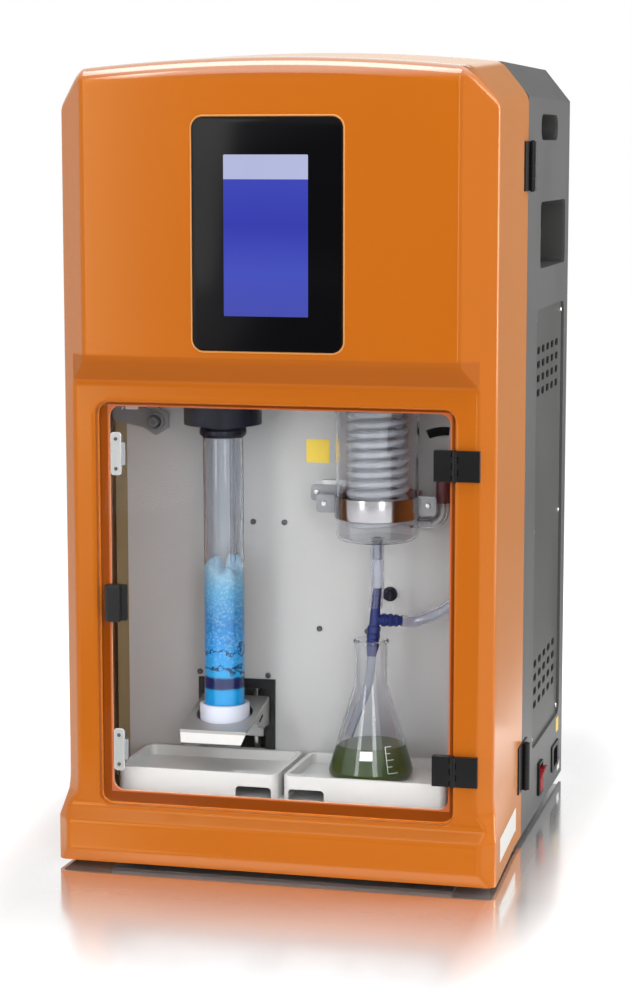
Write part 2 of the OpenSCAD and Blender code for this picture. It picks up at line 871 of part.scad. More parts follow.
// The slots of a vent panel in its two groups
module vent_slots() {
    first = -[vent_columns - 1, vent_rows - 1] / 2;
    for (z = vent_groups, i = [0 : vent_columns - 1], k = [0 : vent_rows - 1])
        translate([vent_centre.x + (first.x + i) * vent_pitch.x, z + (first.y + k) * vent_pitch.y])
            vent_slot([slot_w, slot_h]);
}

module vent_panels() {
    inner = hw - housing_wall;
    color("gray") on_seam() for (side = [0, 1]) mirror([side, 0, 0])
        along_x(inner - vent_t, inner) difference() {
            translate(vent_centre) round_rect([vent_w, vent_h] + 2 * [vent_lap, vent_lap], vent_r + 4);
            vent_slots();
        }
}

module grip_pockets() {
    color("dimgray") on_seam() for (side = [0, 1]) mirror([side, 0, 0])
        side_cup(grip_centre, [grip_w, grip_h], grip_r, grip_d);
}

module port_pocket() {
    color("dimgray") on_seam() side_cup(pocket_centre, [pocket_w, pocket_h], pocket_r, pocket_d);
}

module side_ports() {
    x = hw - housing_wall - pocket_d + cup_wall;
    color("silver") on_seam() for (y = side_port_ys)
        translate([x, pocket_centre.x + y, pocket_centre.y]) rotate([0, 90, 0]) {
            cylinder(d = 26, h = 6, $fn = 6);
            cylinder(d = 18, h = 20);
        }
}

module power_inlet() {
    floor_x = hw - socket_d;
    color("black") on_seam() {
        difference() {
            union() {
                along_x(hw, hw + flange_t) translate(inlet_centre) round_rect([inlet_w, inlet_h], 4);
                along_x(hw - inlet_d, hw) translate(inlet_centre) round_rect([inlet_w - 6, inlet_h - 6], 3);
            }
            along_x(floor_x, hw + flange_t + over) translate(inlet_centre) round_rect(socket, 3);
        }
        for (i = [-1 : 1])
            along_x(floor_x, floor_x + blade_l)
                translate(inlet_centre + [i * blade_pitch, i == 0 ? blade_rise : -blade_rise])
                    square(blade, center = true);
    }
}

module switch_bezel() {
    color("black") on_seam() difference() {
        union() {
            along_x(hw, hw + switch_lip) translate(switch_centre) round_rect([switch_w, switch_h], 3);
            along_x(hw - switch_d, hw) translate(switch_centre) round_rect([switch_w - 3, switch_h - 3], 2);
        }
        along_x(hw - switch_bore, hw + switch_lip + over) translate(switch_centre)
            square(rocker_hole, center = true);
        translate([rocker_x, switch_centre.x, switch_centre.y]) rotate([90, 0, 0])
            cylinder(d = axle_d + 2 * run_gap, h = rocker_hole.x + 2, center = true);
    }
}

module power_rocker() {
    half = rocker_hole.y / 2 - 2;
    place = [rocker_x, switch_centre.x, switch_centre.y];
    color("firebrick") on_seam() translate(place) rotate([0, rocker_tilt, 0]) {
        along_y(-rocker_hole.x / 2 + 2 * rest_gap, rocker_hole.x / 2 - 2 * rest_gap)
            polygon([[-4, 3 - half], [5, -half], [2.5, 0], [5, half], [-4, half - 3]]);
        rotate([90, 0, 0]) cylinder(d = axle_d, h = rocker_hole.x + 1.6, center = true);
    }
}

module feet() {
    front = [floor_w / 2 - 25, 35 - floor_q];
    back = [hw - 40, housing_d - 45];
    color("black") on_seam() for (at = [front, back], side = [-1, 1])
        upright([side * at.x, at.y], 0, foot_h, foot_d);
}

// A flat band bent to an arc, with a middle radius, a width and two end angles
module arc_band(r, w, ends, steps = 8) {
    turns = [for (i = [0 : steps]) let (a = ends[0] + (ends[1] - ends[0]) * i / steps) [cos(a), sin(a)]];
    polygon(concat(
        [for (i = [0 : steps]) (r + w / 2) * turns[i]], [for (i = [0 : steps]) (r - w / 2) * turns[steps - i]]
    ));
}

module bulkhead() {
    half = hw - bulkhead_in;
    back = -bulkhead_q + sheet_t;
    holes = [
        [latch_x, latch_z, latch_d + 2 * run_gap],
        [steam_x, steam_turn_z + steam_turn_r, steam_od + 2 * rest_gap]
    ];
    color("whitesmoke") on_seam() difference() {
        union() {
            block([-half, -bulkhead_q, base_top], [half, back, shoulder_z]);
            for (x = [-half, half - sheet_t])
                block([x, -bulkhead_q, base_top], [x + sheet_t, back + flange_l, shoulder_z]);
        }
        along_y(-bulkhead_q - over, back + over) translate([tube_x - slot_half, slot_low_z])
            square([2 * slot_half, slot_top_z - slot_low_z]);
        for (hole = holes)
            along_y(-bulkhead_q - over, back + over) translate([hole.x, hole.y]) circle(d = hole.z);
        along_y(-bulkhead_q - over, back + over) translate(arc_centre) arc_band(arc_r, arc_w, arc_ends);
    }
}

module chamber_floor() {
    half = floor_w / 2;
    color("gainsboro") on_seam() {
        block([-half, -floor_q, floor_z - sheet_t], [half, -bulkhead_q, floor_z]);
        block([-half, -floor_q, base_top], [half, -floor_q + sheet_t, floor_z]);
    }
}

module housing_hinge_leaves() {
    y = knuckle_r + leaf_gap;
    color("black") on_seam() for (z = hinge_zs) difference() {
        z0 = z - hinge_h / 2;
        union() {
            block([hw, y, z0], [hw + leaf_t, y + leaf_w, z0 + hinge_h]);
            knuckle_webs([hw, leaf_gap], [hw + leaf_t, y], z0, hinge_h, cover_knuckles, 0);
            knuckles([hinge_x, 0], z0, hinge_h, cover_knuckles, 0, knuckle_r);
        }
        upright([hinge_x, 0], z0 - over, z0 + hinge_h + over, 2 * (pin_r + run_gap));
    }
}

module cover_hinge_leaves() {
    y = knuckle_r + leaf_gap;
    color("black") on_seam() for (z = hinge_zs) difference() {
        z0 = z - hinge_h / 2;
        union() {
            block([hw, -y - leaf_w, z0], [hw + leaf_t, -y, z0 + hinge_h]);
            knuckle_webs([hw, -y], [hw + leaf_t, -leaf_gap], z0, hinge_h, cover_knuckles, 1);
            knuckles([hinge_x, 0], z0, hinge_h, cover_knuckles, 1, knuckle_r);
        }
        upright([hinge_x, 0], z0 - over, z0 + hinge_h + over, 2 * (pin_r + run_gap));
    }
}

module cover_hinge_pins() {
    half = hinge_h / 2 + over;
    color("silver") on_seam() for (z = hinge_zs) upright([hinge_x, 0], z - half, z + half, 2 * pin_r);
}

module stopper_block() {
    color("black") on_seam() difference() {
        union() {
            upright(glass, block_z, block_top, block_od);
            block(
                [tube_x - stay_half, -glass_q, block_z + stay_in],
                [tube_x + stay_half, -bulkhead_q, block_top - stay_in]
            );
        }
        upright(glass, block_z - over, block_top + over, vapour_bore);
        upright([steam_x, -glass_q], block_z - over, block_top + over, steam_od + 2 * rest_gap);
    }
}

module stopper_seal() {
    plug_d = tube_od - 2 * tube_wall - plug_play;
    plug_z = collar_z - plug_l;
    color("dimgray") on_seam() difference() {
        union() {
            upright(glass, collar_z, block_z, collar_od);
            translate([tube_x, -glass_q, plug_z]) cylinder(d1 = plug_d - plug_taper, d2 = plug_d, h = plug_l);
        }
        upright(glass, plug_z - over, block_z + over, vapour_bore);
        upright([steam_x, -glass_q], plug_z - over, block_z + over, steam_od + 2 * rest_gap);
    }
}

// The run of the steam tube: up through the stopper, then back through the chamber wall
module steam_run(d, more) {
    back_y = -glass_q + steam_turn_r;
    upright([steam_x, -glass_q], steam_low_z - more, steam_turn_z, d);
    translate([steam_x, -glass_q, steam_turn_z]) rotate([0, 0, 90]) quarter_turn(steam_turn_r, d);
    translate([steam_x, back_y, steam_turn_z + steam_turn_r]) rotate([-90, 0, 0])
        cylinder(d = d, h = steam_out_y - back_y + more);
}

module steam_tube() {
    color("white") on_seam() difference() {
        steam_run(steam_od, 0);
        steam_run(steam_od - 2, over);
    }
}

module splash_head() {
    color("lightcyan") on_seam() difference() {
        union() {
            upright(glass, block_top - stem_in, bulb_z, stem_od);
            translate([tube_x, -glass_q, bulb_z]) sphere(bulb_r);
            upright(glass, bulb_z, head_top_z, head_od);
        }
        upright(glass, block_top - stem_in - over, bulb_z, stem_od - 2 * head_wall);
        translate([tube_x, -glass_q, bulb_z]) sphere(bulb_r - head_wall);
        upright(glass, bulb_z, head_top_z + over, head_od - 2 * head_wall);
    }
}

// The run of the vapour bridge from the splash head over to the condenser
module bridge_run(d, more) {
    low = bridge_z - bridge_r;
    upright(glass, head_top_z - more, low, d);
    translate([tube_x, -glass_q, low]) quarter_turn(bridge_r, d);
    translate([tube_x + bridge_r, -glass_q, bridge_z]) rotate([0, 90, 0])
        cylinder(d = d, h = cond_x - tube_x - 2 * bridge_r);
    translate([cond_x, -glass_q, low]) rotate([0, 0, 180]) quarter_turn(bridge_r, d);
    upright(cond, jacket_neck_z - more, low, d);
}

module vapour_bridge() {
    color("lightcyan") on_seam() difference() {
        bridge_run(head_od, 0);
        bridge_run(head_od - 2 * head_wall, over);
    }
}

function jacket_outline(inset) =
    let (r = jacket_od / 2 - inset, z0 = jacket_z + inset)
    let (z1 = jacket_top - inset)
    rounded([[0, z0, 0], [r, z0, jacket_foot_r - inset], [r, z1, shoulder_r - inset], [0, z1, 0]]);

// The two coolant arms of the jacket, the lower one turned up and the upper one turned down
module arm_runs(d, more) {
    root = arm_root_x - arm_in - 4 * more;
    for (arm = [[low_y, arm_low_z, 0], [high_y, arm_high_z, 1]])
        translate([0, arm.x, arm.y]) mirror([0, 0, arm.z]) {
            translate([root, 0, 0]) rotate([0, 90, 0]) cylinder(d = d, h = arm_x - root);
            translate([arm_end_x, 0, arm_turn_r]) mirror([0, 0, 1]) rotate([0, 0, 180])
                quarter_turn(arm_turn_r, d);
            upright([arm_end_x, 0], arm_turn_r, arm_rise + more, d);
        }
}

module condenser_jacket() {
    color("lightcyan") on_seam() difference() {
        union() {
            translate([cond_x, -glass_q, 0]) rotate_extrude() polygon(jacket_outline(0));
            upright(cond, jacket_top - over, jacket_neck_z, head_od);
            upright(cond, jacket_z - nipple_l, jacket_z + over, nipple_od);
            arm_runs(arm_od, 0);
        }
        translate([cond_x, -glass_q, 0]) rotate_extrude() polygon(jacket_outline(jacket_wall));
        upright(cond, jacket_top - 4 * over, jacket_neck_z + over, head_od - 2 * head_wall);
        upright(cond, jacket_z - nipple_l - over, jacket_z + 4 * over, nipple_od - 2 * head_wall);
        arm_runs(coil_tube + 1, over);
    }
}

// The coil's middle line: straight into the lower arm, up the loops and straight into the upper arm
coil_steps = 24;
coil_path = concat(
    [[arm_x, low_y, coil_z], [cond_x + coil_tube, low_y, coil_z]],
    [for (i = [0 : coil_steps * (coil_loops + 0.5)])
        let (a = 90 + 360 * i / coil_steps)
        [cond_x + coil_d / 2 * cos(a), -glass_q + coil_d / 2 * sin(a), coil_z + coil_pitch * i / coil_steps]],
    [[cond_x + coil_tube, high_y, arm_high_z], [arm_x, high_y, arm_high_z]]
);
coil_gap = min([for (i = [2 : len(coil_path) - 3 - coil_steps / 2], k = [coil_steps / 2 : coil_steps * 3 / 2])
    i + k < len(coil_path) ? norm(coil_path[i + k] - coil_path[i]) : coil_d]) - coil_tube;
echo(coil_gap = coil_gap);

module condenser_coil() {
    color("lightblue") on_seam() swept_tube(coil_path, coil_tube, 6);
}

module clamp_band() {
    inner = jacket_od + 2 * rest_gap;
    outer = inner + 2 * band_t;
    z0 = band_z - band_h / 2;
    color("silver") on_seam() difference() {
        union() {
            upright(cond, z0, z0 + band_h, outer);
            for (e = ears) translate([cond_x, e[2] - glass_q, band_z]) mirror([e[0] < 0 ? 1 : 0, 0, 0])
                block([jacket_od / 2, 0, e[3]], [outer / 2 + e[1], ear_t, e[4]]);
        }
        upright(cond, z0 - over, z0 + band_h + over, inner);
        arm_runs(arm_od + 2 * rest_gap, over);
    }
}

module clamp_bracket() {
    ear = ears[0];
    x = cond_x - jacket_od / 2 - band_t - ear[1] + 1;
    z0 = band_z + ear[3] + 2;
    x1 = x + strut_w;
    z1 = z0 + strut_w;
    wall_y = -bulkhead_q - strut_t;
    color("silver") on_seam() {
        block([x, ear[2] + ear_t - glass_q, z0], [x1, wall_y, z1]);
        block([x - strut_pad, wall_y, z0 - strut_pad], [x1 + strut_pad, -bulkhead_q, z1 + strut_pad]);
    }
}

// The bore of the outlet hose takes the jacket's nipple above and the tee's barb below
outlet_bore = nipple_od + 2 * rest_gap;

module outlet_hose() {
    color("aliceblue") on_seam() difference() {
        upright(cond, tee_top_z, jacket_z - rest_gap, outlet_od);
        upright(cond, tee_top_z - over, jacket_z, outlet_bore);
    }
}

module tee_connector() {
    low = tee_low_z - tee_top_z;
    arm = tee_arm_z - tee_top_z;
    axis = [0, 0];
    color("steelblue") on_seam() translate([cond_x, -glass_q, tee_top_z])
        rotate([-tee_lean, tee_tilt, 0]) rotate([0, 0, tee_turn]) difference() {
            union() {
                upright(axis, low + barb_l, -tee_drop, tee_od);
                upright(axis, -tee_drop, top_barb_l - tee_drop, top_barb_od);
                upright(axis, low, low + barb_l, low_barb_od);
                translate([0, 0, arm]) rotate([0, 90, 0]) {
                    cylinder(d = tee_arm_od, h = tee_arm_l - tee_tip_l);
                    cylinder(d = tee_tip_od, h = tee_arm_l);
                }
            }
            upright(axis, low - over, top_barb_l, tee_bore);
            translate([0, 0, arm]) rotate([0, 90, 0]) cylinder(d = tee_side_bore, h = tee_arm_l + over);
        }
}

module delivery_tube() { color("aliceblue") on_seam() swept_tube(hose_line(delivery_route), delivery_od); }

module feed_hose() { color("lightsteelblue") on_seam() swept_tube(hose_line(feed_route, 3), feed_od); }

module coolant_hose_lower() {
    color("maroon") on_seam() swept_tube(hose_line(lower_route), lower_hose_od);
}

module coolant_hose_upper() { color("black") on_seam() swept_tube(hose_line(upper_route), upper_hose_od); }

module steam_hose() { color("dimgray") on_seam() swept_tube(hose_line(steam_route, 5), steam_hose_od); }

module bulkhead_ports() {
    color("dimgray") on_seam() for (p = [feed_port, lower_port, upper_port])
        translate([p.x, port_y, p.y]) rotate([-90, 0, 0]) {
            cylinder(d = hose_end_d, h = nipple_out);
            translate([0, 0, nipple_out - hose_nut_h]) cylinder(d = hose_nut_d, h = hose_nut_h, $fn = 6);
        }
}

module slot_trim() {
    half = slot_half + trim_w;
    front = -bulkhead_q - trim_t;
    color("black") on_seam() difference() {
        block([tube_x - half, front, slot_low_z], [tube_x + half, -bulkhead_q, slot_top_z + trim_w]);
        along_y(front - over, over - bulkhead_q) translate([tube_x - slot_half, slot_low_z - over])
            square([2 * slot_half, slot_top_z - slot_low_z + over]);
    }
}

module hose_grommet() {
    color("black") on_seam() translate([grommet.x, -bulkhead_q, grommet.y]) rotate([90, 0, 0]) {
        cylinder(d = grommet_d, h = grommet_t);
        cylinder(d = grommet_stem[0], h = grommet_stem[1]);
    }
}

module lift_rods() {
    color("silver") on_seam() for (x = rod_xs) upright([x, rod_y], rod_low_z, rod_top_z, rod_d);
}

module rod_mounts() {
    half = rod_pitch / 2 + mount_side;
    color("dimgray") on_seam() difference() {
        for (z = [rod_low_z, rod_top_z - mount_h])
            block([tube_x - half, -bulkhead_q + sheet_t, z], [tube_x + half, rod_y + rod_cover, z + mount_h]);
        for (x = rod_xs) upright([x, rod_y], rod_low_z - over, rod_top_z + over, rod_d + 2 * run_gap);
    }
}

module lift_carriage() {
    half = rod_pitch / 2 + carriage_side;
    cross = plate_w / 2 - plate_t;
    low_z = seat_z - carriage_low;
    high_z = seat_z + carriage_rise;
    color("silver") on_seam() difference() {
        union() {
            block([tube_x - half, carriage_y, low_z], [tube_x + half, rod_y + rod_cover, high_z]);
            block(
                [tube_x - arm_half, -glass_q - arm_front, seat_z - arm_t],
                [tube_x + arm_half, carriage_y, seat_z]
            );
            block([tube_x - cross, -cross_high_q, seat_z - cross_t], [tube_x + cross, -cross_low_q, seat_z]);
        }
        for (x = rod_xs) upright([x, rod_y], low_z - over, high_z + over, rod_d + 2 * run_gap);
    }
}

module lift_plate() {
    length = (plate_front_q - plate_back_q) / cos(plate_tilt);
    half = plate_w / 2;
    inner = half - plate_t / 2;
    back_z = seat_z + plate_rise;
    slope = tan(plate_tilt);
    low_z = seat_z - plate_drop;
    cheek_q = plate_back_q + over;
    hole = [0, (plate_back_q - glass_q) / cos(plate_tilt), -over - plate_t];
    color("silver") on_seam() {
        translate([tube_x, -plate_back_q, back_z]) rotate([plate_tilt, 0, 0]) {
            difference() {
                block([-inner, -length, -plate_t], [inner, 0, 0]);
                translate(hole) cylinder(d = cup_od + plate_play, h = plate_t + 2 * over);
            }
            along_y(-length, plate_t - length)
                polygon([[-inner, 0], [-inner, -plate_lip], [inner - lip_cut, -plate_lip], [inner, 0]]);
        }
        for (x = [tube_x - half, tube_x + half - plate_t])
            along_x(x, x + plate_t) polygon([
                [-cheek_q, back_z - slope - plate_t / 2], [-cheek_q, low_z], [-cheek_low_q, low_z],
                [-cheek_front_q, back_z - slope * (cheek_front_q - plate_back_q) - plate_t / 2]
            ]);
    }
}

module tube_cup() {
    color("white") on_seam() difference() {
        upright(glass, seat_z, seat_z + cup_h, cup_od);
        upright(glass, seat_z + cup_floor, seat_z + cup_h + over, tube_od + 4 * rest_gap);
    }
}

module digestion_tube() {
    r = tube_od / 2;
    middle = seat_z + cup_floor + rest_gap + r;
    color("lightcyan") on_seam() difference() {
        union() {
            translate([tube_x, -glass_q, middle]) sphere(r);
            upright(glass, middle, tube_top_z, tube_od);
        }
        translate([tube_x, -glass_q, middle]) sphere(r - tube_wall);
        upright(glass, middle, tube_top_z + over, tube_od - 2 * tube_wall);
    }
}

// The trays meet a little left of the middle
tray_mid_x = -2;
tray_r = 9;
notch_in = 6;
notch_r = 4;
tray_rim = 4.5;
land_d = 12;
tray_floor_z = tray_z + tray_h - basin_h;

// One tray from a place along X: a basin on top and a hollow below, with a finger notch in the front wall.
// The basin's edge steps back behind the notch.
module tray(x0, notch_x) {
    middle = [x0 + tray_w / 2, tray_d / 2 - tray_q];
    color("gainsboro") on_seam() difference() {
        translate([middle.x, middle.y, tray_z]) linear_extrude(tray_h) round_rect([tray_w, tray_d], tray_r);
        translate([middle.x, middle.y, tray_z - over])
            linear_extrude(tray_floor_z - tray_wall - tray_z + over)
                round_rect([tray_w - 2 * tray_wall, tray_d - 2 * tray_wall], tray_r - tray_wall);
        translate([0, 0, tray_floor_z]) linear_extrude(tray_h) difference() {
            translate(middle) round_rect([tray_w - 2 * tray_rim, tray_d - 2 * tray_rim], tray_r - tray_wall);
            translate([notch_x, -tray_q]) round_rect([notch_w + 2 * tray_rim, 2 * land_d], tray_rim);
        }
        along_y(-tray_q - over, -tray_q + tray_wall + over) translate([notch_x, tray_z])
            round_rect([notch_w, 2 * notch_h], notch_r);
    }
}

module tray_left() {
    right = tray_mid_x - tray_split / 2;
    tray(right - tray_w, right - notch_in - notch_w / 2);
}

module tray_right() {
    left = tray_mid_x + tray_split / 2;
    tray(left, left + notch_in + notch_w / 2);
}

function flask_outline(inset) =
    let (r = flask_od / 2 - inset, neck = neck_od / 2 - inset)
    rounded([
        [0, inset, 0], [r, inset, 7], [r, 9, 7], [neck, flask_h * 0.68, 14],
        [neck, flask_h + (inset > 0 ? over : 0), 0], [0, flask_h + (inset > 0 ? over : 0), 0]
    ]);

module flask() {
    bead_h = 4;
    color("lightcyan") on_seam() translate([flask_x, -flask_q, tray_floor_z + rest_gap]) difference() {
        union() {
            rotate_extrude() polygon(flask_outline(0));
            translate([0, 0, flask_h - bead_h]) cylinder(d = neck_od + 3, h = bead_h);
        }
        rotate_extrude() polygon(flask_outline(flask_wall));
    }
}

module cam_latch() {
    collar_d = latch_d + 6;
    back_h = 4;
    front_h = 6;
    arm_t = 3;
    nut_h = 5;
    nut_sink = 1;
    shaft_l = sheet_t + back_h + front_h + arm_t + nut_h;
    color("silver") on_seam() translate([latch_x, -bulkhead_q, latch_z]) rotate([90, 0, 0]) {
        translate([0, 0, -sheet_t - back_h]) cylinder(d = latch_d, h = shaft_l);
        translate([0, 0, -sheet_t - back_h]) cylinder(d = collar_d, h = back_h - rest_gap);
        translate([0, 0, rest_gap]) cylinder(d = collar_d, h = front_h - rest_gap);
        rotate([0, 0, -latch_lean]) translate([latch_w / 4 - latch_l / 2, 0, front_h]) linear_extrude(arm_t)
            round_rect([latch_l + latch_w / 2, latch_w], 6);
        rotate([0, 0, 30]) translate([0, 0, front_h + arm_t - nut_sink])
            cylinder(d = latch_nut_d, h = nut_h + nut_sink, $fn = 6);
    }
}

module steam_generator() {
    top = base_top + boiler_h;
    at = [boiler_x, boiler_y];
    color("silver") on_seam() {
        difference() {
            upright(at, base_top, top, boiler_d);
            upright(at, base_top - over, top - casing_t, boiler_d - 2 * casing_t);
        }
        upright(at, top, top + boiler_neck_h, boiler_neck_d);
    }
}

module reagent_pump() {
    middle = pump_low + pump_size / 2;
    color("dimgray") on_seam() {
        block(pump_low, pump_low + pump_size);
        translate([middle.x, pump_low.y, middle.z]) rotate([90, 0, 0])
            cylinder(d = pump_head_d, h = pump_head_l);
    }
}

module power_supply() {
    wall = [casing_t, casing_t, casing_t];
    color("silver") on_seam() difference() {
        block(supply_low, supply_low + supply_size);
        block(supply_low + [casing_t, casing_t, -over], supply_low + supply_size - wall);
    }
}

module front_cover() {
    window = [0, door_z + door_h / 2];
    recess = [door_w + 2 * door_gap, door_h + 2 * door_gap];
    open_low = [lip_left - door_w / 2, door_z + lip_low];
    open_high = [door_w / 2 - lip_right, door_top_z - lip_top];
    screen = [0, bezel_z + bezel_h / 2];
    color("darkorange") on_seam() difference() {
        union() {
            difference() {
                cover_form(0, seam_gap, ground_gap);
                cover_form(cover_wall, -5 * over, -5 * over);
            }
            along_y(over - frame_q, lip_t - lip_q) translate(window)
                round_rect(recess + 2 * [frame_w, frame_w], door_r + frame_w);
        }
        along_y(-base_q, -lip_q) translate(window) round_rect(recess, door_r + door_gap);
        along_y(-base_q, lip_t - lip_q + over) translate((open_low + open_high) / 2)
            round_rect(open_high - open_low, door_r);
        along_y(-cover_d - over, -cover_d + cover_wall + over) translate(screen)
            round_rect([bezel_w, bezel_h] - 2 * [bezel_rim, bezel_rim], 8);
    }
}

module screen_bezel() {
    color("black") on_seam() along_y(-cover_d - bezel_t, -cover_d) translate([0, bezel_z + bezel_h / 2])
        round_rect([bezel_w, bezel_h], 11);
}

module display_module() {
    size = [bezel_w, bezel_h] - 2 * [bezel_rim + 4, bezel_rim + 4];
    color("navy") on_seam() along_y(-cover_d, -cover_d + display_d) translate([0, bezel_z + bezel_h / 2])
        round_rect(size, 4);
}

module frame_hinge_leaves() {
    x0 = door_axis_x + door_knuckle_r + door_leaf_gap;
    x1 = x0 + door_leaf_w + 4;
    y = -door_axis_q;
    color("black") on_seam() for (z = door_hinge_zs) difference() {
        z0 = z - door_hinge_h / 2;
        union() {
            block([x0, -frame_q - leaf_out, z0], [x1, -frame_q, z0 + door_hinge_h]);
            knuckle_webs([door_axis_x, y - web_half], [x0, y + web_half], z0, door_hinge_h, door_knuckles, 0);
            knuckles([door_axis_x, y], z0, door_hinge_h, door_knuckles, 0, door_knuckle_r);
        }
        upright([door_axis_x, y], z0 - over, z0 + door_hinge_h + over, 2 * (door_pin_r + run_gap));
    }
}

module door_hinge_leaves() {
    x1 = door_axis_x - door_knuckle_r - door_leaf_gap;
    y = -door_axis_q;
    color("black") on_seam() for (z = door_hinge_zs) difference() {
        z0 = z - door_hinge_h / 2;
        union() {
            block([x1 - door_leaf_w, -frame_q - leaf_out, z0], [x1, -door_q, z0 + door_hinge_h]);
            knuckle_webs([x1, y - web_half], [door_axis_x, y + web_half], z0, door_hinge_h, door_knuckles, 1);
            knuckles([door_axis_x, y], z0, door_hinge_h, door_knuckles, 1, door_knuckle_r);
        }
        upright([door_axis_x, y], z0 - over, z0 + door_hinge_h + over, 2 * (door_pin_r + run_gap));
    }
}

module door_hinge_pins() {
    half = door_hinge_h / 2 + over;
    color("silver") on_seam() for (z = door_hinge_zs)
        upright([door_axis_x, -door_axis_q], z - half, z + half, 2 * door_pin_r);
}

module catch_magnets() {
    half = catch_h / 2 - 5;
    x0 = over - door_w / 2;
    x1 = catch_x + catch_w / 2 - 2;
    back = lip_t - lip_q;
    color("whitesmoke") on_seam() for (z = catch_zs) block([x0, back, z - half], [x1, back + 10, z + half]);
}

module catch_plates() {
    color("silver") on_seam() for (z = catch_zs)
        along_y(-lip_q, -lip_q + 2) translate([catch_x, z]) round_rect([catch_w, catch_h], 3);
}

module door_panel() {
    color("lightcyan") on_seam() along_y(-door_q, -lip_q) translate([0, door_z + door_h / 2])
        round_rect([door_w, door_h], door_r);
}

module door_handle() {
    half = handle_w / 2;
    place = [19 - door_w / 2, -door_q, handle_z - handle_h / 2];
    color("dimgray") on_seam() translate(place) linear_extrude(handle_h) polygon(rounded([
        [-half, 0, 0], [-half, -handle_d * 0.6, 4], [3 - half, -handle_d, 4], [half - 3, -handle_d, 2],
        [half - 6, -handle_d * 0.55, 4], [half, -handle_d * 0.3, 2], [half, 0, 0]
    ]));
}

rear_housing();
base_plate();
rear_panel();
rear_ports();
vent_panels();
grip_pockets();
port_pocket();
side_ports();
power_inlet();
switch_bezel();
feet();
bulkhead();
chamber_floor();
housing_hinge_leaves();
cover_hinge_pins();
stopper_block();
stopper_seal();
steam_tube();
splash_head();
vapour_bridge();
condenser_jacket();
condenser_coil();
clamp_band();
clamp_bracket();
outlet_hose();
tee_connector();
delivery_tube();
feed_hose();
bulkhead_ports();
coolant_hose_lower();
coolant_hose_upper();
slot_trim();
hose_grommet();
lift_rods();
rod_mounts();
steam_generator();
steam_hose();
reagent_pump();
power_supply();
front_cover();
screen_bezel();
display_module();
cover_hinge_leaves();
frame_hinge_leaves();
door_hinge_pins();
catch_magnets();
door_panel();
door_hinge_leaves();
door_handle();
catch_plates();
lift_carriage();
lift_plate();
tube_cup();
digestion_tube();
tray_left();
tray_right();
flask();
power_rocker();
cam_latch();
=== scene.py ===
# %% [markdown]
# # A bench unit for distilling digested samples
# This lesson dresses a CAD model of the unit in Blender: a moulded orange cover with a screen
# and a clear door, a grey housing behind it, and the glassware in the chamber. The CAD model
# is loaded first and stays fixed. Everything that follows is drawn in its frame, in metres.

# %% Load the CAD frame
import json
import math

import bmesh
import bpy
import numpy as np
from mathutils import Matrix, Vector


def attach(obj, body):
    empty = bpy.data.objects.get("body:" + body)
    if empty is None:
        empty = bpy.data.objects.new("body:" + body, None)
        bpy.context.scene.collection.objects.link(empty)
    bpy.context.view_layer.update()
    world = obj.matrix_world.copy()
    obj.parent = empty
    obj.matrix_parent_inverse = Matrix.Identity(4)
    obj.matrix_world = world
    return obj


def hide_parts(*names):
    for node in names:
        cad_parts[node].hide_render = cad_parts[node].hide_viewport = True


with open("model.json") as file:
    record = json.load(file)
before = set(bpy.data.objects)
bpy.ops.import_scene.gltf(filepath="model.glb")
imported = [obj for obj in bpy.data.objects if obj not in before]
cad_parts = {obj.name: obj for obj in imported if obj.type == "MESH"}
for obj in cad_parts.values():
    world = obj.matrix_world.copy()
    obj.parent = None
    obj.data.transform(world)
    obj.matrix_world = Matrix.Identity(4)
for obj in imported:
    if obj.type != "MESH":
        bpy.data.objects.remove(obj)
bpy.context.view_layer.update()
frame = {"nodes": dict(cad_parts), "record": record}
node_body = {n: body for body, nodes in frame["record"]["behaviour"]["bodies"].items() for n in nodes}
node_slot = {part["node"]: part["material_slot"] for part in frame["record"]["subparts"]}

# %% [markdown]
# ## Places on the unit
# The drawing of the unit gives its places in millimetres, and depth is counted from the seam
# between the cover and the housing: minus is towards the front. One helper turns such places
# into metres in the model's frame, so all later cells can use the drawing's own numbers.

# %% From the drawing's millimetres to the frame's metres
SEAM_Y = -49.0
MM_PER_M = 1000.0


def placed(points):
    """Places in millimetres, with depth from the seam, as metres in the model's frame."""
    return (np.asarray(points, float) + (0.0, SEAM_Y, 0.0)) / MM_PER_M


print("the seam lies at", placed([(0, 0, 0)])[0])

# %% [markdown]
# ## Meshes from points
# Nearly every piece here is turned, swept along a path, or cut from sheet. All of them end in
# the same step: points and faces become a mesh with outward normals, smooth where neighbouring
# faces meet at a small angle and sharp elsewhere. Keeping that in one helper keeps the finish
# of the shading alike on all the pieces.

# %% A mesh piece from points in millimetres
SAME_PLACE = 1e-6


def piece(name, points, faces, sharp=35):
    """A new mesh object from drawing points and faces, shaded smooth up to an angle in degrees."""
    mesh = bpy.data.meshes.new(name)
    mesh.from_pydata([tuple(p) for p in placed(points)], [], [tuple(f) for f in faces])
    made = bpy.data.objects.new(name, mesh)
    bpy.context.collection.objects.link(made)
    form = bmesh.new()
    form.from_mesh(mesh)
    bmesh.ops.remove_doubles(form, verts=form.verts, dist=SAME_PLACE)
    bmesh.ops.recalc_face_normals(form, faces=form.faces)
    form.to_mesh(mesh)
    form.free()
    shade(made, sharp)
    return made


def shade(made, sharp=35):
    """Smooth shading with sharp edges kept above an angle."""
    made.data.polygons.foreach_set("use_smooth", [True] * len(made.data.polygons))
    made.data.set_sharp_from_angle(angle=math.radians(sharp))


print("mesh helpers ready")

# %% [markdown]
# ## Turned forms
# Glass, hoses and sheet metal need three makers. A turned form spins an outline of radius and
# height, as a lathe or a glass blower's bench does, and its corners are rounded beforehand so
# that no later step has to find them. Spinning is exact, so it comes before any other way.

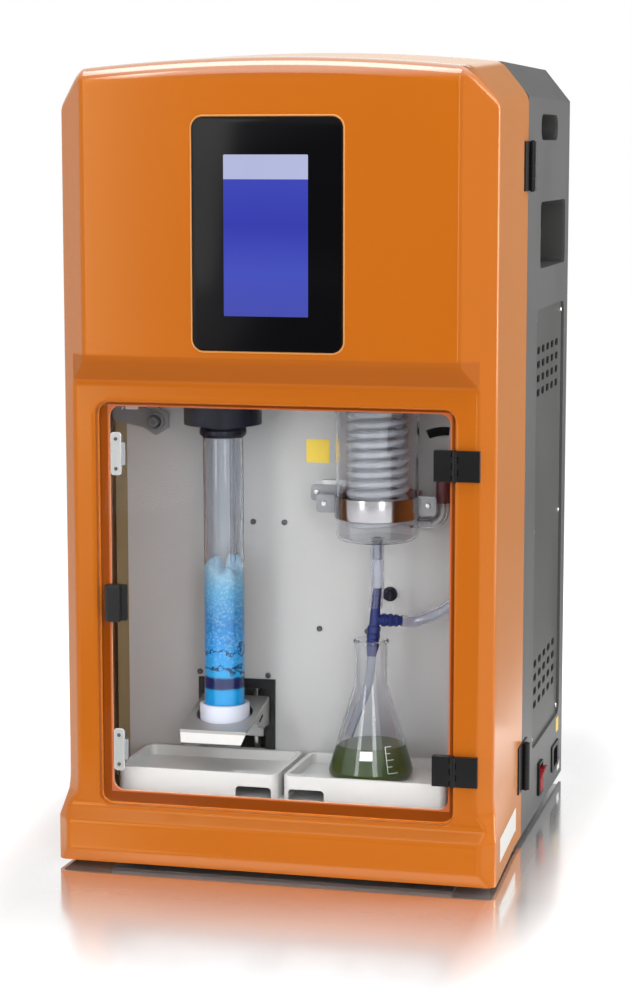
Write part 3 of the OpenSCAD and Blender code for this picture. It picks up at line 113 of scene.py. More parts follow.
# %% Turned form
def turned(name, outline, at, steps=72, closed=True, sharp=35):
    """Spins an outline of [radius, height] about an upright axis at [x, depth]."""
    points, rows = [], []
    for r, z in outline:
        if r < 1e-4:
            rows.append([len(points)] * steps)
            points.append((at[0], at[1], z))
        else:
            rows.append(list(range(len(points), len(points) + steps)))
            points += [(at[0] + r * math.cos(a), at[1] + r * math.sin(a), z)
                       for a in np.linspace(0, 2 * math.pi, steps, endpoint=False)]
    faces = []
    for low, high in zip(rows, rows[1:] + (rows[:1] if closed else [])):
        for k in range(steps):
            corner = [low[k], low[(k + 1) % steps], high[(k + 1) % steps], high[k]]
            corner = [c for i, c in enumerate(corner) if c not in corner[:i]]
            if len(corner) > 2:
                faces.append(corner)
    return piece(name, points, faces, sharp)


def rounded(corners, steps=6, loop=True):
    """An outline of [x, y, radius] with its corners rounded to arcs."""
    corners, made = [np.asarray(c, float) for c in corners], []
    for i, here in enumerate(corners):
        r = here[2]
        if r <= 0 or (not loop and i in (0, len(corners) - 1)):
            made.append(here[:2])
            continue
        b, a, c = here[:2], corners[i - 1][:2], corners[(i + 1) % len(corners)][:2]
        u, v = (a - b) / np.linalg.norm(a - b), (c - b) / np.linalg.norm(c - b)
        half = math.acos(np.clip(u @ v, -1, 1)) / 2
        centre = b + (u + v) / np.linalg.norm(u + v) * r / math.sin(half)
        p, q = b + u * r / math.tan(half) - centre, b + v * r / math.tan(half) - centre
        sweep = math.atan2(p[0] * q[1] - p[1] * q[0], p @ q)
        start = math.atan2(p[1], p[0])
        turns = start + sweep * np.arange(steps + 1) / steps
        made += [centre + r * np.array((math.cos(a), math.sin(a))) for a in turns]
    return made


print("a rounded square has", len(rounded([(0, 0, 2), (9, 0, 2), (9, 9, 2), (0, 9, 2)])), "points")

# %% [markdown]
# ## Swept forms
# Hoses and bent glass follow a path. A curve with a bevel would do it, but a bore through it
# would need a second one and a boolean. Here a ring is carried along the path by hand, and since
# it must not twist, its side vector is passed on from point to point.

# %% Swept form
def through(points, steps=8):
    """Points on a smooth curve through a route."""
    p, made = [np.asarray(v, float) for v in points], []
    for i in range(len(p) - 1):
        a, b, c, d = p[max(i - 1, 0)], p[i], p[i + 1], p[min(i + 2, len(p) - 1)]
        for t in np.arange(steps) / steps:
            bow = (c - a) + (2 * a - 5 * b + 4 * c - d) * t + (3 * b - a - 3 * c + d) * t * t
            made.append(b + 0.5 * t * bow)
    return made + [p[-1]]


def swept(name, path, radius, sides=20, bore=None, sharp=40):
    """Carries a round ring along a path; radius may be one number or one for each point."""
    path = [np.asarray(v, float) for v in path]
    radii = np.broadcast_to(radius, len(path))
    side, rings = None, []
    for i, here in enumerate(path):
        run = path[min(i + 1, len(path) - 1)] - path[max(i - 1, 0)]
        run = run / np.linalg.norm(run)
        if side is None:
            side = np.array((1.0, 0, 0)) if abs(run[0]) < 0.8 else np.array((0, 0, 1.0))
        side = side - (side @ run) * run
        side = side / np.linalg.norm(side)
        rings.append((here, side, np.cross(run, side)))
    turns = np.linspace(0, 2 * math.pi, sides, endpoint=False)
    walls = [(radii, False)] + ([(np.broadcast_to(bore, len(path)), True)] if bore is not None else [])
    points, faces, n = [], [], len(path)
    for sizes, _ in walls:
        points += [c + r * (math.cos(a) * s + math.sin(a) * u)
                   for (c, s, u), r in zip(rings, sizes) for a in turns]
    for w, (_, flip) in enumerate(walls):
        for i in range(n - 1):
            for k in range(sides):
                a, b = w * n * sides + i * sides + k, w * n * sides + i * sides + (k + 1) % sides
                quad = [a, b, b + sides, a + sides]
                faces.append(quad[::-1] if flip else quad)
    for end in (0, (n - 1) * sides):
        ring = [end + k for k in range(sides)]
        if bore is None:
            faces.append(ring)
        else:
            faces += [[a, b, n * sides + b, n * sides + a] for a, b in zip(ring, ring[1:] + ring[:1])]
    return piece(name, points, faces, sharp)


print("a route of 3 points gives", len(through([(0, 0, 0), (1, 0, 0), (1, 1, 0)])), "points")

# %% [markdown]
# ## Cut sheet and plates
# Sheet, panes and small plates are outlines with thickness. Real ones have broken edges, which
# is where light catches them. A bevel on the mesh itself, not a modifier, keeps every piece
# finished as soon as it is made.

# %% Slab with eased edges
def slab(name, outline, axis, low, high, ease=0.6, steps=2, sharp=35):
    """An outline with thickness: axis 0 lifts [depth, height], 1 [x, height], 2 [x, depth]."""
    n = len(outline)
    points = [np.insert(np.asarray(p, float), axis, level) for level in (low, high) for p in outline]
    faces = [list(range(n)), list(range(n, 2 * n))]
    faces += [[i, (i + 1) % n, n + (i + 1) % n, n + i] for i in range(n)]
    made = piece(name, points, faces, sharp)
    if ease:
        eased(made, ease, steps, sharp)
    return made


def eased(made, width, steps=2, sharp=35, angle=30):
    """Rounds the sharp edges of a piece by a width in millimetres."""
    form = bmesh.new()
    form.from_mesh(made.data)
    edges = [e for e in form.edges if len(e.link_faces) == 2 and e.calc_face_angle(0) > math.radians(angle)]
    bmesh.ops.bevel(form, geom=edges, offset=width / MM_PER_M, offset_type="OFFSET", segments=steps,
                    profile=0.5, affect="EDGES", clamp_overlap=True)
    form.to_mesh(made.data)
    form.free()
    shade(made, sharp)


def box_outline(x0, z0, x1, z1, r=0.0, steps=6):
    """A rectangle between two corners, rounded."""
    return rounded([(x0, z0, r), (x1, z0, r), (x1, z1, r), (x0, z1, r)], steps)


print("a rounded plate outline has", len(box_outline(0, 0, 40, 20, 3)), "points")

# %% [markdown]
# ## Softened CAD parts
# Where a CAD node already has the right shape, its edges are still knife sharp. Real mouldings
# and folded sheet have small radii that catch the light. A copy of the node with its flat
# triangles merged and its edges rounded stands in for it, and the CAD node stays hidden behind.

# %% A softened copy of a CAD node
def softened(node, width, steps=2, angle=35, flat=0.5):
    """A copy of a CAD node with edges rounded by a width in millimetres, standing for it."""
    made = bpy.data.objects.new("soft_" + node, frame["nodes"][node].data.copy())
    bpy.context.collection.objects.link(made)
    form = bmesh.new()
    form.from_mesh(made.data)
    bmesh.ops.remove_doubles(form, verts=form.verts, dist=SAME_PLACE)
    bmesh.ops.dissolve_limit(form, angle_limit=math.radians(flat), verts=form.verts, edges=form.edges)
    bmesh.ops.recalc_face_normals(form, faces=form.faces)
    form.to_mesh(made.data)
    form.free()
    for layer in list(made.data.attributes):
        if layer.name == "custom_normal":
            made.data.attributes.remove(layer)
    eased(made, width, steps, angle=angle)
    flattened(made)
    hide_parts(node)
    return made


def flattened(made, angle=50):
    """Corner normals weighted by area, so that wide faces stay flat beside their rounded edges."""
    faces = made.data.polygons
    normals, areas = [f.normal.copy() for f in faces], [f.area for f in faces]
    around, corners = [[] for _ in made.data.vertices], []
    for face in faces:
        for v in face.vertices:
            around[v].append(face.index)
    limit = math.cos(math.radians(angle))
    for face in faces:
        for v in face.vertices:
            total = Vector()
            for i in around[v]:
                if normals[i].dot(normals[face.index]) > limit:
                    total += normals[i] * areas[i]
            corners.append(total.normalized())
    made.data.normals_split_custom_set(corners)


def dressed(made, body, finish, slot, *stands_for):
    """Gives a piece its finish and the body it rides on, and hides the nodes it stands for; the slot is not
    used.
    """
    made.data.materials.clear()
    made.data.materials.append(finish)
    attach(made, body)
    if stands_for:
        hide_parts(*stands_for)
    return made


def joined(name, made):
    """Several pieces as one mesh."""
    form = bmesh.new()
    for one in made:
        form.from_mesh(one.data)
        bpy.data.objects.remove(one)
    mesh = bpy.data.meshes.new(name)
    form.to_mesh(mesh)
    form.free()
    whole = bpy.data.objects.new(name, mesh)
    bpy.context.collection.objects.link(whole)
    return whole


print("softening ready for", len(frame["nodes"]), "nodes")

# %% [markdown]
# ## Mixing finishes
# A finish is a node tree, and trees are easier to read as sums than as wiring. A Wire holds
# one socket, and adding, subtracting, multiplying or dividing wires puts in the Math nodes.
# Every other node comes from one method, which takes the node's type, its settings and what
# its sockets get. What stays the same over a surface is written on the shader's own sockets.

# %% Wire: sums on sockets
class Wire:
    """An output socket of a finish; sums on it add Math nodes."""

    def __init__(self, finish, socket):
        self.finish, self.socket = finish, socket

    def sum_of(self, operation, first, second):
        return self.finish.add("Math", {"operation": operation}, {0: first, 1: second})

    def __add__(self, other):
        return self.sum_of("ADD", self, other)

    __radd__ = __add__

    def __mul__(self, other):
        return self.sum_of("MULTIPLY", self, other)

    __rmul__ = __mul__

    def __sub__(self, other):
        return self.sum_of("SUBTRACT", self, other)

    def __rsub__(self, other):
        return self.sum_of("SUBTRACT", other, self)

    def __truediv__(self, other):
        return self.sum_of("DIVIDE", self, other)

    def __gt__(self, other):
        return self.sum_of("GREATER_THAN", self, other)

    def __lt__(self, other):
        return self.sum_of("LESS_THAN", self, other)

    def size(self):
        return self.sum_of("ABSOLUTE", self, 0.0)

    def upto(self, other):
        return self.sum_of("MINIMUM", self, other)

    def least(self, other):
        return self.sum_of("MAXIMUM", self, other)

    def share(self):
        """Held between none and all."""
        return self.least(0.0).upto(1.0)


print("wires can be summed")

# %% [markdown]
# ## A material in the making
# Every finish starts from the same few moves: where on the model a point lies, noise at some
# scale, a mix of two colours, a bump. They could be wired by hand each time. One class with a
# method for each move keeps the recipes short, and all of them end in one main shader.

# %% Finish: a material in the making
class Finish:
    """A material with one main shader; add() puts in a node and gives back a wire."""

    def __init__(self, name):
        self.material = bpy.data.materials.new(name)
        self.material.use_nodes = True
        self.tree = self.material.node_tree
        self.tree.nodes.clear()
        self.shader = self.tree.nodes.new("ShaderNodeBsdfPrincipled")
        self.output = self.tree.nodes.new("ShaderNodeOutputMaterial")
        self.tree.links.new(self.shader.outputs[0], self.output.inputs["Surface"])

    def feed(self, socket, value):
        if isinstance(value, Wire):
            self.tree.links.new(value.socket, socket)
        elif hasattr(socket.default_value, "__len__") and len(socket.default_value) == 4:
            socket.default_value = (*value[:3], 1.0)
        else:
            socket.default_value = value

    def add(self, kind, settings=None, sockets=None, out=0):
        made = self.tree.nodes.new("ShaderNode" + kind)
        for key, value in (settings or {}).items():
            if key == "stops":
                while len(made.color_ramp.elements) < len(value):
                    made.color_ramp.elements.new(0.5)
                for stop, (at, colour) in zip(made.color_ramp.elements, value):
                    stop.position, stop.color = at, (*colour, 1.0)
            else:
                setattr(made, key, value)
        for key, value in (sockets or {}).items():
            self.feed(made.inputs[key], value)
        return Wire(self, made.outputs[out])

    def surface(self, values):
        for name, value in values.items():
            self.feed(self.shader.inputs[name], value)
        return self

    def place(self):
        """The place on the model, in metres."""
        return self.add("TexCoord", out="Object")

    def along(self, place, letter):
        return self.add("SeparateXYZ", sockets={0: place}, out=letter)

    def stretched(self, place, by):
        return self.add("VectorMath", {"operation": "MULTIPLY"}, {0: place, 1: by})

    def noise(self, place, scale, detail=3.0, roughness=0.5):
        return self.add("TexNoise", sockets={"Vector": place, "Scale": scale, "Detail": detail,
                                             "Roughness": roughness}, out="Fac")

    def mixed(self, factor, first, second):
        return self.add("Mix", {"data_type": "RGBA"}, {0: factor, 6: first, 7: second}, out=2)

    def ramp(self, factor, stops):
        return self.add("ValToRGB", {"stops": stops}, {0: factor})

    def bump(self, height, depth):
        return self.add("Bump", sockets={"Strength": 1.0, "Distance": depth, "Height": height}, out="Normal")

    def lamps_pass(self, tint):
        """Lets light from the lamps reach what is behind this glass."""
        ray = self.add("LightPath", out="Is Shadow Ray")
        clear = self.add("BsdfTransparent", sockets={"Color": tint})
        both = self.add("MixShader", sockets={0: ray, 1: Wire(self, self.shader.outputs[0]), 2: clear})
        self.tree.links.new(both.socket, self.output.inputs["Surface"])
        return self


print("finishes can be mixed")

# %% [markdown]
# ## Paint, plastic and rubber
# Most of the unit is coloured paint or plastic. None of it is one flat colour: mouldings vary a
# little over their length, powder coat has a fine grain, and handled plastic shines unevenly.
# One mixer makes them all from a colour, a gloss and the size and depth of the grain.

# %% Coloured paint and plastic
def coated(name, colour, rough, vary=0.07, grain=700.0, depth=2e-5, patch=9.0, values=None):
    """A painted or moulded surface with soft patches of tone and a fine grain."""
    made = Finish(name)
    at = made.place()
    tone = made.noise(at, patch, 4.0)
    fine = made.noise(at, grain, 2.0)
    dark = tuple(c * (1 - vary) for c in colour)
    light = tuple(min(c * (1 + vary), 1.0) for c in colour)
    made.surface({"Base Color": made.mixed(tone * 0.8 + fine * 0.2, dark, light),
                  "Roughness": rough * 0.85 + tone * (rough * 0.3),
                  "Normal": made.bump(fine, depth)})
    made.surface(values or {})
    return made.material


SATIN = {"Specular IOR Level": 0.25}
DULL = {"Specular IOR Level": 0.16}
housing_grey = coated("grey_powder_coat", (0.116, 0.117, 0.116), 0.42, 0.10, 1600.0, 3e-5, 9.0, SATIN)
panel_grey = coated("grey_vent_sheet", (0.088, 0.090, 0.087), 0.42, 0.10, 1600.0, 3e-5, 9.0, SATIN)
hinge_black = coated("black_hinge_plastic", (0.010, 0.010, 0.011), 0.34, 0.25, 1200.0, 3e-5, 9.0, SATIN)
stopper_black = coated("black_stopper", (0.005, 0.006, 0.014), 0.26, 0.25, 700.0, 2e-5, 9.0, DULL)
handle_black = coated("grained_handle_plastic", (0.020, 0.020, 0.021), 0.46, 0.2, 1500.0, 8e-5, 9.0, SATIN)
cast_grey = coated("grey_casting", (0.16, 0.16, 0.165), 0.40, 0.18, 420.0, 6e-5)
ear_grey = coated("grey_clamp_ear", (0.20, 0.205, 0.225), 0.32, 0.12, 500.0, 3e-5)
screw_dark = coated("dark_screw", (0.055, 0.055, 0.055), 0.34, 0.3, 900.0, 3e-5)
catch_zinc = coated("bright_catch_plate", (0.86, 0.86, 0.85), 0.30, 0.04, 900.0, 1e-5, 30.0)
rubber_black = coated("black_rubber", (0.016, 0.016, 0.016), 0.62, 0.2, 900.0, 6e-5)
rubber_maroon = coated("maroon_rubber", (0.085, 0.009, 0.014), 0.45, 0.2, 600.0, 5e-5)
chamber_white = coated("white_chamber_paint", (0.62, 0.62, 0.61), 0.38, 0.02, 900.0, 1.5e-5)
tray_white = coated("pale_tray_plastic", (0.59, 0.59, 0.585), 0.42, 0.03, 1100.0, 3e-5)
cup_white = coated("white_cup_polymer", (0.56, 0.59, 0.69), 0.35, 0.02, 800.0, 2e-5)
tee_blue = coated("blue_tee_polymer", (0.010, 0.019, 0.110), 0.24, 0.15, 600.0, 2e-5, 9.0, SATIN)
rocker_red = coated("red_rocker_plastic", (0.42, 0.010, 0.012), 0.22, 0.1, 700.0, 1e-5)
print("coated finishes:", len(bpy.data.materials))

# %% [markdown]
# ## The cover's orange
# The cover is moulded in one glossy orange plastic, and three places on it look different: the
# front edge of the top shines, the waist above the door is darker and duller as painted shade
# under the bulge, and the reveal around the window is paler as painted light. Masks worked out
# from the place on the model pick these out, so the moulding stays one piece with one finish. A
# sheen warms it where it turns away.

# %% The cover's finish
CREST_Z, CREST_RISE = 0.790, 0.008
CREST_Y, CREST_RUN = -0.222, 0.012
WINDOW_X, WINDOW_Z, WINDOW_HALF_W, WINDOW_HALF_H = 0.003, 0.274, 0.1745, 0.1975
WAIST_Z, WAIST_HALF, WAIST_FADE, WAIST_REACH = 0.5095, 0.0145, 0.003, 0.205
cover_paint = Finish("orange_moulding")
where = cover_paint.place()
tone, fine = cover_paint.noise(where, 5.0, 4.0), cover_paint.noise(where, 260.0, 2.0)
x, y, z = (cover_paint.along(where, letter) for letter in "XYZ")
crest = ((z - CREST_Z) / CREST_RISE).share() * ((CREST_Y - y) / CREST_RUN).share()
# painted light: the reveal around the window is coloured a paler orange, as if lit by the lamps
painted_reveal_light = ((x - WINDOW_X).size() < WINDOW_HALF_W) * ((z - WINDOW_Z).size() < WINDOW_HALF_H)
# painted shade: the band under the bulge, above the door, is coloured darker and made duller
painted_waist_shade = ((WAIST_HALF - (z - WAIST_Z).size()) / WAIST_FADE).share() * (x.size() < WAIST_REACH)
skin = cover_paint.mixed(tone * 0.8 + fine * 0.2, (0.595, 0.148, 0.007), (0.645, 0.162, 0.009))
skin = cover_paint.mixed(painted_waist_shade, skin, (0.50, 0.118, 0.005))
cover_paint.surface({"Base Color": cover_paint.mixed(painted_reveal_light, skin, (0.93, 0.37, 0.14)),
                     "Specular Tint": (1.0, 0.80, 0.45), "Roughness": 0.15 + tone * 0.05 + painted_waist_shade * 0.5,
                     "Specular IOR Level": 0.32, "Normal": cover_paint.bump(fine, 2e-5),
                     "Coat Weight": crest, "Coat Roughness": 0.10, "Coat IOR": 2.8,
                     "Sheen Weight": 0.30, "Sheen Roughness": 0.45, "Sheen Tint": (1.0, 0.92, 0.60)})
cover_orange = cover_paint.material
print("the cover is", cover_orange.name)

# %% [markdown]
# ## Metals
# Stainless sheet shows fine lines along its rolling direction, which widen its reflections one
# way. Noise stretched hard along one axis gives those lines to the roughness and to a very
# shallow bump. Bright parts such as guide rods have the same lines, only fainter.

# %% Stainless and bright metal
def rolled(name, colour, rough, lines, depth=6e-6):
    """Metal with fine lines: lines scales the noise along each axis."""
    made = Finish(name)
    at = made.place()
    line = made.noise(made.stretched(at, lines), 1.0, 3.0, 0.6)
    patch = made.noise(at, 25.0, 3.0)
    made.surface({"Base Color": made.mixed(line, tuple(c * 0.86 for c in colour), colour),
                  "Roughness": rough * 0.7 + line * (rough * 0.5) + patch * (rough * 0.2),
                  "Normal": made.bump(line, depth), "Metallic": 1.0})
    return made.material


band_steel = rolled("bright_clamp_steel", (0.42, 0.41, 0.43), 0.16, (80.0, 80.0, 1500.0))
rod_steel = rolled("ground_rod_steel", (0.70, 0.70, 0.70), 0.12, (60.0, 60.0, 1800.0), 3e-6)
plate_steel = rolled("zinc_plate", (0.50, 0.51, 0.52), 0.36, (120.0, 120.0, 700.0), 1e-5)
screw_steel = rolled("screw_steel", (0.55, 0.55, 0.55), 0.26, (900.0, 900.0, 900.0))
print("metals:", band_steel.name, rod_steel.name)

# %% [markdown]
# ## The lifter's sheet
# The plate that lifts the tube is bent from stainless sheet. Its rolled lip faces the lamps and
# has a painted highlight that makes it nearly white, over a hem painted dark as shade. Both could
# be pieces of their own, but they are the same sheet, so the finish changes with depth and height
# instead.

# %% The lifter's sheet, with a painted highlight on its lip
LIP_Y, LIP_FRONT, LIP_SLOPE, LIP_TOP, HEM_TOP = -0.160, 0.181, 0.23, 0.1305, 0.1195
sheet = Finish("stainless_sheet")
where = sheet.place()
line = sheet.noise(sheet.stretched(where, (60.0, 900.0, 900.0)), 1.0, 3.0, 0.6)
depth, height = sheet.along(where, "Y"), sheet.along(where, "Z")
# painted highlight: the lip that faces the lamps is coloured nearly white and made less metallic
painted_lip_light = (depth < LIP_Y) * (height - (depth + LIP_FRONT) * LIP_SLOPE < LIP_TOP)
# painted shade: the hem at the lip's lower edge is coloured dark
painted_hem_shade = painted_lip_light * (height < HEM_TOP)
face = sheet.mixed(painted_lip_light, sheet.mixed(line, (0.40, 0.40, 0.39), (0.47, 0.47, 0.46)), (0.74, 0.73, 0.72))
sheet.surface({"Base Color": sheet.mixed(painted_hem_shade, face, (0.09, 0.09, 0.09)), "Roughness": 0.36 + line * 0.12,
               "Metallic": 0.85 - painted_lip_light * 0.75, "Normal": sheet.bump(line, 6e-6)})
sheet_steel = sheet.material
print("the lifter is", sheet_steel.name)

# %% [markdown]
# ## Glass and clear plastic
# The chamber is all glass behind a clear door, so a lamp outside would leave it in shadow if
# every pane blocked it. Each clear finish therefore lets shadow rays pass with a slight tint,
# while what the camera sees is true refracting glass. Faint streaks keep it from looking ideal.

# %% Clear finishes
def clear(name, tint, rough, ior, passing, streak=4e-6, weight=1.0):
    """Glass or clear plastic, with faint streaks in its shine."""
    made = Finish(name)
    at = made.place()
    wave = made.noise(at, 60.0, 2.0)
    made.surface({"Base Color": made.mixed(wave, tuple(c * 0.97 for c in tint), tint),
                  "Roughness": rough * 0.6 + wave * (rough * 0.8), "Normal": made.bump(wave, streak),
                  "Transmission Weight": weight, "IOR": ior})
    return made.lamps_pass(passing).material


lab_glass = clear("laboratory_glass", (0.945, 0.955, 0.985), 0.010, 1.47, (0.93, 0.94, 0.96))
tube_glass = clear("blue_cast_glass", (0.86, 0.90, 0.955), 0.05, 1.47, (0.90, 0.92, 0.95))
door_clear = clear("clear_door_sheet", (0.985, 0.99, 0.99), 0.006, 1.12, (0.96, 0.965, 0.965), 1e-6)
hose_clear = clear("clear_hose_plastic", (0.88, 0.90, 0.975), 0.10, 1.40, (0.85, 0.87, 0.93), 3e-5)
print("clear finishes:", lab_glass.name, door_clear.name, hose_clear.name)

# %% [markdown]
# ## The moulded cover
# The cover is one moulding: a base that flares out, a sunken frame for the door, and a bulged
# head with bevelled flanks under an arched top. The CAD solid has that form in flat facets. It
# could be smoothed, but a gloss finish shows every facet, so the skin is drawn again as rows of
# one ring that follows the same lines. Rows climb the front, bend over the top edge and close
# in across the arch, so that the bevels and the crown run on the mesh's own edges.

# %% The cover's lines
HALF, COVER_D, GROUND, SEAM_GAP, WALL = 220.0, 205.0, 6.0, 0.8, 3.5
SIDE_TOP, CORNER_W, CORNER_H, CROWN_RISE, FRONT_DROP = 776.0, 28.0, 35.0, 10.0, 11.0
CREASE, FACE_IN, FRAME, BASE = 171.0, 32.0, 188.0, 204.0
BASE_TOP, LEDGE, LEDGE_END, WAIST, BULGE, FACE_TOP = 50.0, 62.0, 74.0, 494.0, 516.0, 730.0
FOOT_IN, FOOT_RISE, CREASE_BLEND = 9.0, 15.0, 6.0
FINE_ROW, WIDE_ROW, FLARE_ROWS = 7.0, 60.0, range(70, 100, 4)
ARCH_HALF = HALF - CORNER_W
ARCH_R = (ARCH_HALF ** 2 + CROWN_RISE ** 2) / (2 * CROWN_RISE)
ARCH_Z = SIDE_TOP + CORNER_H + CROWN_RISE - ARCH_R
SLOPE = (COVER_D - CREASE) / FACE_IN


def crown(x, q, inset):
    """Height of the arched top and its sloped corners over a place, with their crease rounded."""
    fall = FRONT_DROP * q / COVER_D
    arch = ARCH_Z + math.sqrt((ARCH_R - inset - fall) ** 2 - x * x)
    meet = -inset * (math.hypot(CORNER_W, CORNER_H) - CORNER_H) / CORNER_W
    slope = SIDE_TOP + meet + (HALF - inset - abs(x)) * CORNER_H / CORNER_W - fall
    h = min(max(0.5 + 0.5 * (slope - arch) / CREASE_BLEND, 0.0), 1.0)
    return slope * (1 - h) + arch * h - CREASE_BLEND * h * (1 - h)


def front_line(inset):
    """The front's line of [distance from the seam, height] from the base up the screen face."""
    line = rounded([(BASE - inset - FOOT_IN, GROUND, 0), (BASE - inset, GROUND + FOOT_RISE, 11),
                    (BASE - inset, BASE_TOP, 8), (FRAME - inset, LEDGE, 10), (FRAME - inset, WAIST, 14),
                    (COVER_D - inset, BULGE, 11), (COVER_D - inset, FACE_TOP, 0)], 8, loop=False)
    dense = [line[0]]
    for here in line[1:]:
        low = dense[-1][1]
        fine = here[1] < LEDGE or low < FLARE_ROWS.start
        steps = max(1, math.ceil((here[1] - low) / (FINE_ROW if fine else WIDE_ROW)))
        if here[1] > LEDGE and here[1] - low > WIDE_ROW:
            dense += [np.array((here[0], z)) for z in FLARE_ROWS if low < z < here[1]]
        dense += [dense[-1] + (here - dense[-1]) * k / steps for k in range(1, steps + 1)]
    return dense


print("the front line has", len(front_line(0)), "points; the crown peaks at", round(crown(0, 0, 0), 1))

# %% [markdown]
# ## One ring of the cover
# Seen from above, each side of the cover runs straight from the seam, turns at a crease into a
# sloped flank and turns again into the face. At the base it flares out. Every ring has the same
# count of points on each of these spans, because only then do rows of rings join into clean
# quads, and the creases lie on the same column all the way up.

# %% One ring of the cover
SPANS = (4, 12, 6, 30)
ARC = 8
FLARE, FLARE_AT, FLARE_TOP, FLARE_RUN, BASE_CREASE = 5.8, 40.0, 94.0, 42.0, BASE - 15.0
CORNER_ROUND, LEAST_RUN, LEAST_FLANK = 9.0, 4.0, 0.05
ROUND_SHARE, ROUND_REACH, SIDE_SHARE = 0.95, 0.83, 0.23


def half_ring(a, b, c, d, e, r):
    """Points from the seam to the middle: side, crease arc, flank, face arc and face."""
    arcs = [[p] * (ARC + 1) for p in (c, d)]
    if r > 1e-3:
        line = rounded([(*b, 0), (*c, r), (*d, r), (*e, 0)], ARC, loop=False)
        arcs = [line[1:ARC + 2], line[ARC + 2:2 * ARC + 3]]
    stops = [[a], [b], arcs[0], arcs[1], [e]]
    made = [np.asarray(a, float)]
    for (before, after), steps in zip(zip(stops, stops[1:]), SPANS):
        start, end = np.asarray(before[-1], float), np.asarray(after[0], float)
        made += [start + (end - start) * k / steps for k in range(1, steps + 1)]
        made += [np.asarray(p, float) for p in after[1:]]
    return made


def whole_ring(half):
    """A half ring and its mirror image."""
    return half + [np.array((-p[0], p[1])) for p in half[-2::-1]]


def wall_ring(inset, q, z):
    """The level outline of the cover at a height where the front is at q."""
    t = min(max((FLARE_TOP - z) / FLARE_RUN, 0.0), 1.0)
    x, flare = HALF - inset, FLARE * t * t * (1.6 - 0.6 * t)
    crease = float(np.interp(z, (BASE_TOP, LEDGE_END), (BASE_CREASE, CREASE))) - inset / 2
    depth = q - crease
    run = max(depth / SLOPE, LEAST_RUN)
    return whole_ring(half_ring((x, SEAM_GAP), (x, FLARE_AT), (x + flare, crease), (x + flare - run, q),
                                (0, q), min(CORNER_ROUND, math.hypot(run, depth))))


def top_ring(inset, s):
    """The outline of the head, drawn in by s."""
    x, q = HALF - inset, COVER_D - inset
    crease = np.array((x, CREASE - inset / 2))
    corner = np.array((x - (q - crease[1]) / SLOPE, q))
    run = (corner - crease) / np.linalg.norm(corner - crease)
    inward = np.array((-run[1], run[0]))
    at = crease + inward * s
    c = at + run * ((x - s - at[0]) / run[0])
    d = at + run * ((q - s - at[1]) / run[1])
    left = (d - c) @ run
    r = min(CORNER_ROUND, ROUND_SHARE * left / ROUND_REACH)
    if left <= LEAST_FLANK:
        c = d = np.array((x - s, q - s))
        r = 0.0
    side = SEAM_GAP + (c[1] - SEAM_GAP) * SIDE_SHARE
    return whole_ring(half_ring((x - s, SEAM_GAP), (x - s, side), c, d, (0, q - s), r))


print("one ring has", len(wall_ring(0, FRAME, 300)), "points")

# %% [markdown]
# ## The skin of the cover
# The rings climb the front, bend over the rounded top edge and close in over the crown. The edge
# is rounder on the face than on the sides, so each point of a ring has its own radius. The last
# ring leaves an open middle, which a plain grid fills.

# %% The skin of the cover
BEND_ROWS, EDGE_ROUNDS, EDGE_END = 7, (7.0, 8.0, 15.0), 24.0
LAST_RING = 150.0
TOP_ROWS = [26, 28, 30, 33, 38, 46, 56, 75, 100, 125, LAST_RING]


def cover_skin(inset):
    """Rows of points from the base over the top, and the rows that fill the middle of the top."""
    rows = [[(x, -d, z) for x, d in wall_ring(inset, q, z)] for q, z in front_line(inset)]
    outline = top_ring(inset, 0.0)
    half = len(outline) // 2
    face = half - SPANS[3]
    turn = face - SPANS[2] - 2 * ARC
    columns = (turn - 2, turn + ARC, face)
    edge = [float(np.interp(min(j, 2 * half - j), columns, EDGE_ROUNDS)) - inset / 2
            for j in range(len(outline))]
    crest = [crown(x, d, inset) for x, d in outline]
    held = {}

    def drawn_in(j, s):
        s = round(s, 3)
        if s not in held:
            held[s] = top_ring(inset, s)
        return held[s][j]

    def row(places):
        return [(p[0], -p[1], z) for p, z in places]

    rows.append(row((p, z - r) for p, z, r in zip(outline, crest, edge)))
    for t in np.arange(1, BEND_ROWS + 1) / BEND_ROWS:
        bent = []
        for j, r in enumerate(edge):
            p, end = drawn_in(j, r * t * t), drawn_in(j, r)
            z = (1 - t) ** 2 * (crest[j] - r) + 2 * t * (1 - t) * crest[j] + t * t * crown(*end, inset)
            bent.append((p, z))
        rows.append(row(bent))
    for step in list(np.linspace(0, 1, 4)[1:]) + TOP_ROWS:
        places = [drawn_in(j, r + (EDGE_END - r) * step if step <= 1 else step) for j, r in enumerate(edge)]
        rows.append(row((p, crown(*p, inset)) for p in places))
    last = top_ring(inset, LAST_RING)
    front = last[half - SPANS[3]:half + SPANS[3] + 1]
    side = last[:SPANS[0] + SPANS[1] + 1]
    fill = [[(p[0], -q[1], crown(p[0], q[1], inset)) for p in front] for q in side[:-1]]
    return rows, fill


outer_rows, outer_fill = cover_skin(0.0)
inner_rows, inner_fill = cover_skin(WALL)
print(len(outer_rows), "rows of", len(outer_rows[0]), "points,", len(outer_fill), "rows of fill")

# %% [markdown]
# ## The cover's shell
# A moulding has a wall of even thickness. A Solidify modifier would give one, but it thickens the
# bevels unevenly, so the inner skin is drawn from the same lines with an inset. Strips of faces
# along the open edges join both skins into one closed shell.

# %% The shell between the outer and the inner skin
def strip(first, second):
    """Quads between two rows of point numbers."""
    return [[a, b, d, c] for a, b, c, d in zip(first, first[1:], second, second[1:])]


